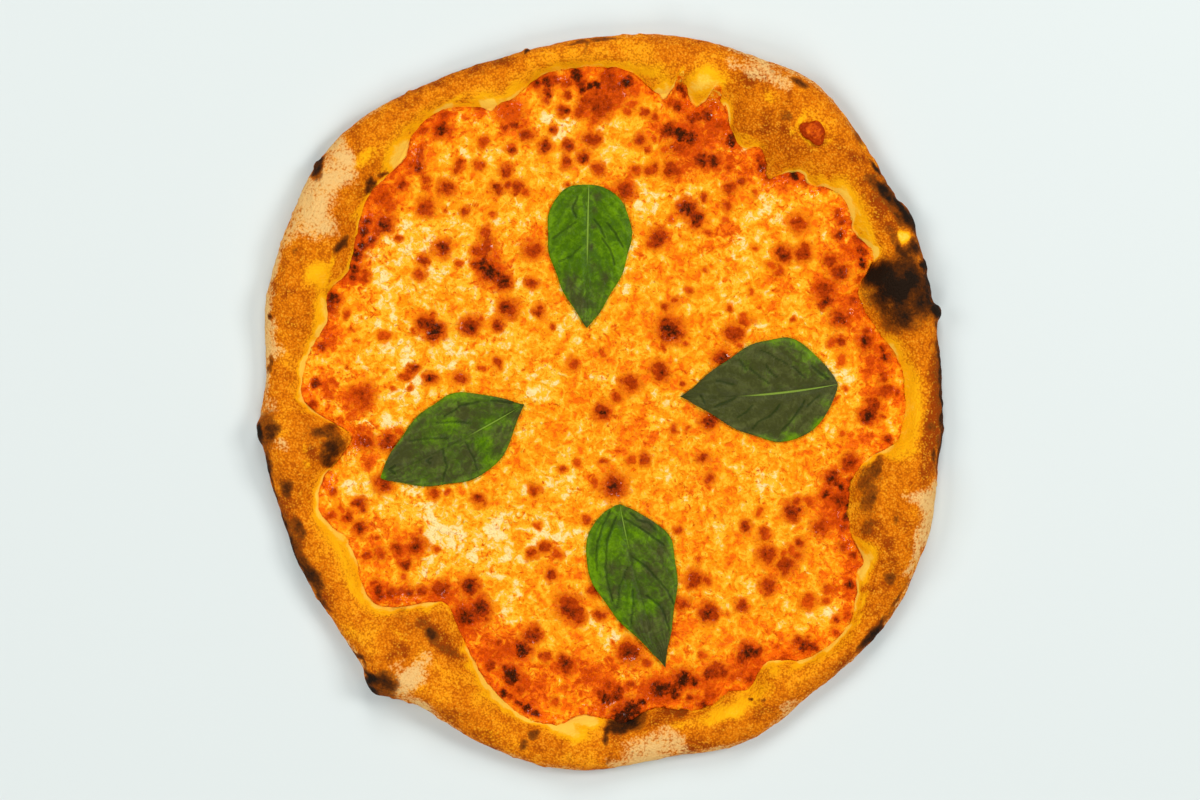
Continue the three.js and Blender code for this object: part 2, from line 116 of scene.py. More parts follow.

# Smooth swellings of the rim, where the dough stayed yellow, given like SCORCHED_AND_SHADED.
YELLOW = [
    (0, 135.5, 9, 2.6, 0.6), (5, 134.5, 8, 3, 0.5), (10, 129.5, 7, 2.5, 0.8), (356, 135, 8, 3, 0.5),
    (356, 138, 14, 4, 0.2), (352, 132.5, 5, 3, 0.8), (350, 127, 2.5, 4, 0.8), (348, 118.5, 2.5, 3, 0.6),
    (29.2, 149.5, 1.9, 1.7, 2.6), (29.2, 149.5, 3.4, 2.8, 0.5), (29.5, 135.7, 4, 1.7, 1.1), (33, 136.7, 5, 1.7, 1.1),
    (37, 138, 5, 1.8, 1), (41, 140, 6, 2.2, 1), (45, 136, 4, 1.5, 0.9), (48.5, 133, 4, 1.2, 1),
    (51.5, 129.5, 2, 1.5, 0.8), (42, 143, 6, 4, 0.4), (36, 141, 9, 3, 0.3), (55.2, 149.5, 1.5, 4.5, 0.9),
    (52, 153.8, 6, 1.2, 0.45), (49, 149, 1, 3, 0.5), (52.5, 143.8, 5, 1.2, 0.6), (61.3, 150.5, 3.5, 2.2, 0.65),
    (61, 131.5, 6, 1.5, 0.6), (67, 138, 2, 4, 0.9), (66, 134, 2, 3, 0.7), (72, 146, 5, 5, 1), (71, 150, 6, 4, 0.5),
    (74, 142, 3, 4, 0.9), (73, 146, 4, 5, 0.4), (78.7, 139, 2.6, 4, 1.6), (80.3, 136, 3, 2, 0.9),
    (82.5, 145.5, 5, 2, 0.7), (80.5, 147, 6, 3, 0.4), (86, 147.3, 6, 1.6, 0.5), (91, 148, 7, 1.6, 0.5),
    (96.5, 148, 6, 2, 0.5), (101, 146.5, 5, 1.5, 0.6), (104.3, 143, 3.5, 2, 0.8), (106.5, 141, 3, 1.5, 0.7),
    (110.6, 140.7, 2.8, 2.5, 1.7), (108.5, 140, 2, 1.2, 0.8), (112.5, 143.5, 3, 1.8, 0.8), (116, 147, 6, 1, 0.7),
    (121, 147.6, 6, 1, 0.6), (125, 146.5, 4, 1, 0.6), (128.5, 142, 4.5, 3.4, 1.5), (131, 139.5, 4, 2.5, 1.1),
    (133.5, 147.5, 5, 2.2, 0.7), (136, 150, 4, 1.5, 0.5), (126.5, 149.5, 5, 2.5, 0.3), (142.5, 136.5, 5, 1, 0.5),
    (152, 133, 4, 1.2, 0.7), (155.8, 136.5, 5, 4.2, 1.15), (156.5, 133, 3, 2, 0.5), (162, 130.5, 6, 2, 0.9),
    (165.3, 127.5, 4, 1.5, 1), (168.5, 130, 4, 1, 0.9), (173, 132, 7, 0.9, 0.7), (178, 130.7, 5, 0.9, 0.6),
    (181.6, 125, 1, 5, 0.7), (182, 117, 1, 4, 0.7), (188.3, 130.5, 2.2, 1.5, 0.6), (192, 131, 2.2, 1.5, 0.6),
    (195.5, 126, 3, 1.5, 0.9), (198.5, 131, 4, 1.5, 0.8), (203, 133.2, 6, 1.6, 0.9), (208, 131.5, 5, 2, 0.7),
    (212, 131.5, 5, 1.8, 0.8), (206.5, 129, 3, 1.6, 1.2), (205, 136.5, 14, 3, 0.2), (215.5, 134.8, 5, 1.6, 0.9),
    (219, 136, 5, 1.5, 0.8), (222.3, 133, 2.5, 1.8, 0.9), (224, 128, 1.8, 3, 0.9), (226.3, 122, 2, 3, 0.9),
    (228.8, 117, 2.5, 3, 0.9), (241, 124.5, 4, 1.2, 0.9), (244.3, 129, 4, 1.5, 1), (247, 132.5, 4, 1.7, 1.2),
    (250, 136.5, 4, 1.7, 1.2), (252.5, 139.5, 3, 1.4, 0.9), (248, 138, 5, 2.5, 0.4), (257, 141.8, 7, 0.9, 0.7),
    (261.5, 143, 4, 1.6, 0.9), (265, 144, 4.5, 3.2, 1.8), (268, 139, 3.5, 1.8, 1.1), (229, 133.5, 6, 1.5, 0.4),
    (242, 136, 5, 3, 0.25), (252, 151, 12, 3, 0.25), (283.5, 144.5, 5, 1.5, 0.5), (289, 145.5, 6, 2, 0.7),
    (293.5, 145, 7, 3.4, 1.15), (299, 143, 5, 4, 0.5), (303, 139, 3, 2.2, 0.7), (307, 142.6, 5, 1.5, 0.9),
    (312, 145.5, 6, 1, 0.8), (318, 145.4, 6, 1, 0.9), (322.5, 142, 4, 1.3, 1), (326.3, 136.5, 4, 1.6, 1.2),
    (330, 133.5, 4, 3, 1.7), (331.8, 127, 1.1, 4, 0.9), (284, 133.5, 8, 0.8, 0.5), (284.3, 137.2, 6, 2.6, -0.7),
    (316, 148.5, 12, 2, 0.25), (222, 148, 6, 2.5, 0.35), (256, 156, 10, 2, 0.25),
]

# Stretches of the rim's outer side that baked brown: angle, reach, strength.
BROWNED_RIM = [(22, 30, 0.55), (42, 14, 0.3), (112, 22, 0.3), (190, 10, 0.5), (205, 14, 0.5), (352, 12, 0.5)]

# Patches of the rim baked browner than the rest, or paler below 0, given like SCORCHED_AND_SHADED.
TOASTED = [
    (35, 149, 14, 5, 0.6), (331, 145, 12, 6, 0.3), (358, 142, 14, 4, 0.35), (335, 131, 12, 5, 0.3),
    (201, 141, 12, 4, 0.15), (43, 153, 10, 4, 0.35), (46, 146, 10, 5, 0.25), (58, 142, 12, 9, 0.35),
    (60, 136, 10, 5, 0.25), (66, 149, 4, 5, 0.2), (65, 157, 6, 2, 0.3), (110, 154, 9, 3, 0.35), (77, 152, 5, 6, 0.2),
    (123, 154, 12, 4, 0.2), (131, 155, 9, 5, 0.25), (133, 142, 7, 4, 0.3), (139, 139, 8, 3, 0.3),
    (146, 137, 5, 4, 0.35), (160, 146, 16, 5, 0.2), (190, 135, 10, 8, 0.2), (188, 127, 8, 5, 0.3),
    (206, 144, 16, 4, 0.3), (218, 147, 9, 4, 0.3), (233, 121, 7, 5, 0.5), (239, 126, 7, 4, 0.45),
    (229, 129, 6, 5, 0.3), (231, 142, 4, 7, 0.3), (262, 150, 10, 4, 0.2), (273, 147, 5, 5, 0.4),
    (281, 139, 9, 3.5, 0.5), (284.3, 137.2, 6, 2.4, 0.8), (33, 144, 9, 3.5, 0.35), (325, 150, 10, 4, 0.3),
    (333, 136, 8, 9, 0.25), (345, 135, 10, 9, 0.25), (350, 143, 9, 5, 0.35), (357, 143, 9, 4, 0.35),
    (5, 145, 14, 3, 0.4), (12, 140, 8, 5, 0.15), (287, 152, 6, 5, 0.2), (299, 151, 8, 4, 0.2), (96, 154, 14, 3, -0.3),
    (84, 156, 10, 4, -0.2), (262, 156, 14, 2.5, -0.3), (224, 146, 6, 4, -0.3), (305, 148, 10, 3, -0.25),
    (345, 129, 6, 4, -0.2), (240, 146, 8, 6, -0.15), (3, 140, 9, 3, -0.2),
]

# The pale line where the dough stayed soft beside the topping: angle, half its span, width, strength.
PALE_LINE = [
    (358, 6, 3, 0.3), (5, 3, 2.5, 0.3), (10, 3, 2, 0.4), (30.5, 2.5, 1.8, 1.1), (35.5, 3, 1.8, 1.1),
    (41, 3.5, 1.6, 1.1), (48.5, 5, 1.5, 1.2), (61, 2, 2, 0.7), (67, 1.5, 2.2, 1.1), (72.5, 2, 3, 1),
    (78.7, 2, 3.2, 1.35), (92, 12, 1.4, 0.45), (106.5, 3, 1.6, 0.6), (111, 1.2, 4.5, 1.4), (118.5, 7, 1.5, 0.5),
    (129, 2.5, 4, 1.15), (136, 4, 1.2, 0.7), (143, 3, 1.2, 0.6), (154, 3, 1.6, 0.9), (162, 3, 3, 0.9),
    (165.5, 1.6, 2.4, 1.3), (174, 6, 1.5, 0.95), (181, 2.5, 2.6, 1), (184.5, 2, 1.6, 0.8), (194, 2, 1.6, 0.8),
    (197, 2.5, 2.4, 1), (203, 4, 2, 1.1), (210, 5, 2.6, 0.9), (220, 4, 2, 1.15), (225.5, 3, 3, 1), (229, 1.5, 3, 0.9),
    (243, 3, 2, 1.1), (249, 4, 2.4, 1.3), (256.5, 4, 1.2, 0.9), (262, 2, 2.4, 1), (265.5, 3.5, 5, 1.2),
    (283, 5, 1, 0.3), (303, 2, 2, 0.7), (312, 7, 1.3, 0.7), (323, 3, 1.8, 1.2), (328.7, 2.8, 3.6, 1.3),
    (347.5, 1.5, 2.5, 0.6), (350.5, 1.5, 3, 0.9),
]

# Knobs of scorched dough on the pizza's edge: angle, reach in degrees, height.
EDGE_KNOBS = [
    (15.3, 1.1, 1.5), (19.3, 1.2, 0.4), (23.3, 0.8, 0.9), (30.6, 1.4, 0.9), (33, 1, 0.8), (36.4, 1, 0.9),
    (38.4, 0.7, 0.6), (41.2, 1.2, 0.7), (102.3, 0.4, 1), (122, 0.5, 0.5), (140.2, 0.6, 1), (184.8, 1.8, 1.2),
    (230.4, 2, 1.1),
]

# Bulges of the topping's edge into the rim, or bays below 0: angle, reach in degrees, size.
EDGE_BULGES = [
    (70, 0.95, 4.8), (76.7, 0.55, 5), (75.6, 1, 2), (67, 1, 1.2), (72.8, 0.8, -1.5), (78.6, 0.8, -2.5), (54, 1.2, -2),
    (108, 1.6, 1.2), (111, 0.8, -2), (129.5, 2, -1), (136.5, 1.5, 1), (46.5, 1.5, -1.5), (41, 2, 1.5), (35, 1, -1),
    (207.5, 1.2, -2), (265.5, 2, -1.5), (330.5, 1.4, -1.5), (28.9, 1, 2), (173, 2, 1),
]

# Browned cheese blisters away from the rim, by their reach: x, y, how dark from 0 to 1.
BLISTERS = {
    5: [
        (29, 32, 0.85),
    ],
    4.5: [
        (-49, 57, 0.9), (-60, -93, 0.8), (-54, -90, 0.8), (-105, 3, 0.5), (5, -36, 0.8), (12, -109, 0.7),
        (-15, -89, 0.6),
    ],
    3.5: [
        (-51, 68, 0.6), (-44, 53, 0.9), (-53, 60, 0.8), (-70, 68, 0.75), (-77, 35, 0.8), (-73, 31, 0.9),
        (-58, 34, 0.8), (-41, 41, 0.7), (-31, 67, 0.6), (30, 102, 0.6), (10, 93, 0.6), (37, 85, 0.9), (41, 80, 0.8),
        (24, 72, 0.7), (79, 65, 0.8), (87, 66, 0.6), (96, 49, 0.7), (103, 37, 0.8), (57, 30, 0.6), (52, 20, 0.7),
        (25, 14, 0.7), (12, 8, 0.6), (0, -4, 0.7), (46, -8, 0.8), (100, -33, 0.8), (108, -26, 0.7), (83, -47, 0.75),
        (71, -66, 0.7), (80, -71, 0.6), (72, -80, 0.6), (40, -77, 0.7), (46, -91, 0.7), (95, -54, 0.5),
        (-96, -35, 0.6), (-104, -17, 0.6), (-94, -17, 0.6), (-81, -63, 0.6), (-71, -82, 0.6), (-31, -101, 0.7),
        (-58, -80, 0.8), (-12, -92, 0.6), (103, -42, 0.7),
    ],
    2.4: [
        (-46, 94, 0.75), (-37, 94, 0.6), (-42, 101, 0.6), (-8, 107, 0.7), (-16, 105, 0.5), (-2, 102, 0.5),
        (21, 102, 0.5), (-78, 63, 0.6), (-80, 56, 0.5), (-55, 67, 0.6), (-51, 74, 0.4), (-31, 52, 0.5),
        (-46, 34, 0.7), (-28, 40, 0.7), (-83, 15, 0.8), (-75, 11, 0.8), (-62, 11, 0.5), (-46, 18, 0.6), (54, 86, 0.5),
        (55, 94, 0.5), (97, 44, 0.8), (103, 27, 0.6), (54, 14, 0.6), (62, 36, 0.3), (46, -33, 0.6), (62, -54, 0.7),
        (71, -57, 0.4), (86, -61, 0.5), (35, -87, 0.5), (61, -88, 0.6), (97, -40, 0.9), (104, -37, 0.9),
        (-90, -64, 0.6), (-86, -70, 0.7), (-26, -63, 0.7), (-31, -66, 0.5), (-23, -75, 0.7), (-4, -82, 0.6),
        (-1, -92, 0.6), (-30, -38, 0.5), (-54, -42, 0.6), (44, -24, 0.5), (18, -24, 0.5), (-13, 17, 0.3),
        (9, -107, 0.5),
    ],
}

# Blisters near the rim: angle, radius, reach, how dark from 0 to 1.
EDGE_BLISTERS = [
    (0, 117.5, 3, 0.7), (2.5, 123.5, 3, 0.5), (5.3, 122.5, 2.5, 0.45), (9.3, 125.5, 2.3, 0.9), (11, 125, 2, 0.6),
    (13, 117.5, 3, 0.8), (15.5, 119, 2, 0.4), (22.3, 118, 2.2, 0.55), (20, 114, 2, 0.4), (28.7, 128.5, 2.2, 1),
    (30.5, 131, 2.5, 0.8), (32.5, 132.5, 2.5, 0.6), (29, 118, 3.5, 0.7), (32, 117, 3, 0.7), (35.5, 126.5, 2.3, 0.85),
    (37.5, 131, 2, 0.5), (39, 131.5, 2, 0.4), (42.5, 116, 3.5, 0.45), (49.8, 129.3, 2.6, 0.95), (47.5, 130.5, 2, 0.6),
    (53.5, 122.5, 2.2, 0.8), (55.5, 124.5, 2.5, 0.75), (57.3, 127, 2, 0.6), (58, 114, 2, 0.5), (64, 127.5, 2.8, 0.95),
    (63.5, 130, 1.5, 0.7), (65.5, 116, 3, 0.85), (68, 115, 3, 0.8), (71.5, 122.5, 3.2, 0.9), (70.3, 133.5, 3, 0.75),
    (69.7, 138.5, 2, 0.35), (67, 132, 3, 0.35), (72.5, 131, 3, 0.75), (74, 122.5, 3.5, 1), (76.5, 122.5, 3, 0.85),
    (75.7, 133.5, 2.5, 0.75), (76.3, 141, 1.6, 0.9), (75.3, 139, 1.5, 0.7), (73.5, 116, 3, 0.5), (80, 127, 2, 0.4),
    (82, 115.5, 2.5, 0.55), (82, 128, 1.5, 0.5), (85.7, 140.5, 3.5, 0.85), (88, 137.5, 3, 0.6), (89, 142.5, 4, 0.55),
    (87.5, 134.5, 4, 0.3), (91, 134.5, 4.5, 0.4), (96.8, 141, 2.5, 0.5), (91, 138.8, 2, 1), (92.3, 138, 2, 1),
    (93.6, 136.8, 2, 0.9), (94.7, 143.5, 2.8, 1), (94, 140, 2.5, 0.7), (89, 131, 3.5, 0.6), (91, 128.5, 4, 0.65),
    (93, 131, 3.5, 0.5), (94.5, 127.5, 2.5, 0.5), (96.8, 135.5, 1.6, 0.6), (99.8, 142.3, 2.5, 0.95),
    (101.5, 142.3, 2.5, 0.85), (98.5, 142.5, 2, 0.6), (100.3, 137, 2.5, 0.75), (100.8, 134, 1.5, 0.5),
    (97.8, 128.5, 2.3, 0.7), (100.7, 122, 1.8, 0.5), (92.3, 115, 3, 0.7), (102.7, 115.5, 2.6, 0.75),
    (97.7, 112.5, 2.5, 0.7), (107.5, 127.5, 1.5, 0.8), (109.3, 127.8, 1.8, 0.85), (107.5, 134, 5, 0.15),
    (106, 122, 2.5, 0.5), (110, 117.8, 1.8, 0.75), (114.5, 125, 2, 0.25), (113.2, 140, 1.5, 0.5),
    (120.5, 138.8, 3.2, 0.85), (118.8, 143.5, 1.8, 0.5), (123.5, 142, 2, 0.5), (121, 122.5, 2, 0.45),
    (126.2, 116.5, 3.2, 0.6), (128, 130.3, 2.2, 0.85), (129.5, 132.5, 2, 0.5), (132.8, 129, 2.8, 0.65),
    (137, 130, 3, 0.35), (138.5, 132.5, 1.2, 0.4), (142.6, 130, 1.8, 0.8), (140.7, 123, 3.3, 0.85),
    (143, 123.5, 2, 0.5), (132, 115.5, 3.5, 0.5), (117.5, 117, 2, 0.4), (138, 126, 1.5, 0.3),
    (144.3, 128.5, 2.2, 0.85), (145, 123, 2, 0.8), (146.5, 125.5, 2.6, 0.9), (149, 125, 2.6, 0.85),
    (151.5, 123.5, 2.6, 0.85), (153, 122.5, 2, 0.75), (158.9, 126.2, 3, 1), (161, 125, 1.8, 0.75), (152, 117, 2, 0.5),
    (161, 119, 1.8, 0.4), (168.5, 125, 2.2, 0.75), (176, 126, 2.2, 0.85), (180.4, 126.5, 2, 0.55),
    (198, 124.5, 1.8, 0.4), (202.5, 129, 2, 0.45), (204, 121.5, 2, 0.7), (207.3, 119.2, 3, 0.85),
    (202.5, 114.5, 2.5, 0.7), (213, 122.5, 2, 0.5), (214, 117.5, 2.5, 0.35), (220.3, 128.8, 3, 0.75),
    (218.5, 127, 2, 0.5), (222, 124, 2.5, 0.6), (224.3, 118.5, 2.2, 0.75), (223, 121, 2, 0.5), (226, 114.5, 2, 0.6),
    (231.3, 116.3, 1.8, 0.85), (233, 116.8, 1.5, 0.75), (235.5, 116.5, 1.5, 0.5), (237.5, 115.5, 1.5, 0.5),
    (246.8, 124.5, 2.3, 0.6), (246.2, 114.8, 1.8, 0.55), (251.3, 133.8, 2.4, 0.95), (253, 134.5, 2, 0.7),
    (254.5, 136.5, 2, 0.9), (256, 138, 2, 1), (257.5, 139.3, 1.8, 0.9), (251.5, 125.3, 4, 0.95), (250, 123, 2, 0.7),
    (254, 129.5, 2.5, 0.4), (252, 113, 3.5, 0.9), (261.8, 115.3, 3.4, 0.8), (257.5, 114, 2, 0.4),
    (270.5, 128, 3, 0.95), (272.5, 128.5, 2.5, 0.8), (269.5, 127, 2, 0.7), (273.5, 125.5, 2, 0.6),
    (274, 137.5, 5.2, 1), (272.5, 134, 2, 0.7), (277.6, 132, 1.9, 1), (275, 134.5, 4.5, 1), (276, 130.5, 1, 0.9),
    (275.5, 123, 1.5, 0.5), (271.5, 123, 1.8, 0.55), (281, 127, 3.7, 0.95), (282.5, 126.5, 2.5, 0.9),
    (284.2, 129.5, 2.6, 0.9), (286.3, 125.3, 4, 0.95), (286.7, 134.5, 1.8, 0.8), (279.5, 115, 2, 0.4),
    (288.2, 127.5, 2.6, 0.9), (288.5, 138.5, 2.5, 0.7), (290, 136, 3, 0.35), (291.5, 127.5, 3, 0.75),
    (294, 128, 3, 0.75), (293, 124.5, 2, 0.5), (298, 137, 2.2, 0.65), (300.4, 126, 3.6, 0.9), (301.5, 128, 2.5, 0.8),
    (298.5, 127, 2.5, 0.7), (297, 132.5, 2, 0.3), (309.7, 137.5, 3, 0.9), (310.5, 140.3, 2.5, 0.8),
    (309.5, 133.8, 2, 0.7), (317, 139, 1.8, 0.7), (319, 142, 2, 0.45), (315.5, 142.5, 2, 0.3),
    (323.3, 134.2, 2.3, 0.8), (328.6, 128, 1.6, 0.75), (329, 122.5, 2, 0.4), (316, 125, 3, 0.25),
    (320.5, 127, 2, 0.3), (332.5, 118, 2, 0.7), (335, 117, 2, 0.8), (337.5, 115.5, 2, 0.8), (340.5, 114.5, 2, 0.8),
    (342.5, 113.5, 1.5, 0.7), (347, 113.5, 2, 0.6), (352.8, 124.8, 2, 0.7), (357.5, 116, 3.5, 0.85),
    (359.5, 118, 3, 0.8),
]

# Where tomato shows through most, or least below 0: x, y, reach, strength.
TOMATO = [
    (2, 133, 15, 0.8), (128, -8, 8, -0.5), (130, 8, 6, -0.3), (16, 131, 6, -0.5), (-49, 122, 6, -0.6),
    (-24, 126, 6, -0.5), (-114, -56, 7, -0.5), (100, -93, 7, -0.5), (53, 73, 12, 0.85), (31, -101, 12, 0.8),
    (10, -14, 13, 0.55), (-34, 73, 12, 0.6), (10, 95, 11, 0.65), (31, 95, 9, 0.4), (-24, 73, 10, 0.2),
    (75, -79, 10, 0.2), (-121, 8, 8, 0.7), (20, -122, 13, 0.4), (-40, -101, 12, 0.5), (75, 52, 9, 0.5),
    (42, -36, 12, 0.25), (76, -101, 10, 0.3), (-38, 122, 10, 0.5), (-70, 121, 9, 0.6), (-84, 104, 9, 0.7),
    (-95, 90, 11, 0.7), (-104, 75, 11, 0.9), (-112, 55, 9, 0.7), (-120, 28, 9, 0.6), (-108, 2, 10, 0.9),
    (-104, -14, 8, 0.8), (-101, -27, 7, 0.7), (45, 117, 14, 1.1), (24, 118, 10, 0.6), (38, 105, 11, 0.8),
    (60, 102, 10, 0.6), (80, 98, 10, 0.6), (97, 84, 10, 0.3), (107, 66, 10, 0.5), (97, 50, 11, 1.05),
    (106, 38, 11, 0.8), (117, 20, 9, 0.8), (117, 3, 8, 0.7), (112, -14, 8, 0.5), (103, -40, 11, 1.1),
    (101, -53, 11, 1), (108, -68, 8, 0.7), (106, -82, 8, 0.4), (-86, -62, 11, 0.8), (-72, -82, 9, 0.7),
    (-93, -83, 8, 0.6), (-58, -94, 12, 0.9), (-45, -108, 12, 0.8), (-30, -122, 14, 0.9), (-12, -118, 14, 0.9),
    (5, -122, 14, 0.9), (25, -125, 12, 0.9), (45, -121, 12, 0.8), (63, -114, 12, 0.7), (80, -108, 11, 0.6),
    (72, -76, 10, 0.35), (40, -84, 9, 0.4), (-49, 62, 12, 0.8), (32, 33, 8, 0.3), (-40, 96, 10, 0.3),
    (-62, 100, 9, 0.3), (32, 72, 12, 0.4), (55, 90, 10, 0.3), (0, 22, 14, 0.35), (20, -5, 14, 0.35),
    (45, -12, 10, 0.3), (30, -20, 12, 0.3), (75, 45, 9, 0.3), (46, 8, 6, 0.4), (-76, 33, 8, 0.4), (-12, -90, 9, 0.4),
    (-5, 0, 10, 0.3),
]

# Where cheese lies thickest and palest: x, y, reach, strength.
CREAM = [
    (-85, 68, 12, 0.9), (-60, 62, 8, 0.5), (-64, 78, 10, 0.4), (-17, 120, 12, 0.7), (5, 115, 11, 0.6),
    (-52, 125, 8, 0.4), (-58, 108, 8, 0.2), (73, 85, 11, 1), (62, 66, 13, 0.35), (58, 46, 12, 0.6), (82, 56, 8, 0.3),
    (-93, 50, 10, 0.6), (-80, 50, 10, 0.45), (-66, 22, 13, 0.6), (-88, 20, 10, 0.8), (-85, 5, 9, 0.8),
    (-92, -8, 7, 0.9), (-45, 25, 12, 0.3), (-72, -56, 13, 1.2), (-56, -62, 14, 0.45), (-78, -70, 7, 0.9),
    (-42, -72, 14, 0.7), (-86, -44, 10, 0.35), (-105, -38, 7, 0.8), (-32, -55, 14, 0.8), (-12, -36, 12, 0.3),
    (97, 73, 9, 0.5), (-20, -35, 14, 0.5), (-30, -15, 12, 0.4), (-25, 8, 9, 0.5), (-45, -52, 12, 0.7),
    (-38, -90, 8, 0.6), (-1, -98, 6, 0.7), (5, -102, 5, 0.8), (97, -84, 9, 0.9), (90, -93, 7, 0.6), (103, 14, 7, 1),
    (106, 4, 6, 0.7), (100, -10, 7, 0.5), (62, -28, 10, 0.5), (75, -38, 8, 0.4), (-20, -58, 14, 0.5),
    (75, -58, 10, 0.6), (-4, -58, 9, 0.4), (20, 88, 7, 0.4), (-20, 35, 8, 0.3), (60, 114, 6, 0.5), (14, 60, 8, 0.3),
    (0, 58, 6, 0.3), (-113, -40, 6, 0.6), (40, -45, 10, 0.3), (75, -20, 8, 0.4), (-95, 35, 9, 0.6), (-3, -48, 8, 0.3),
    (80, -88, 6, 0.3), (-65, 130, 6, 0.4),
]
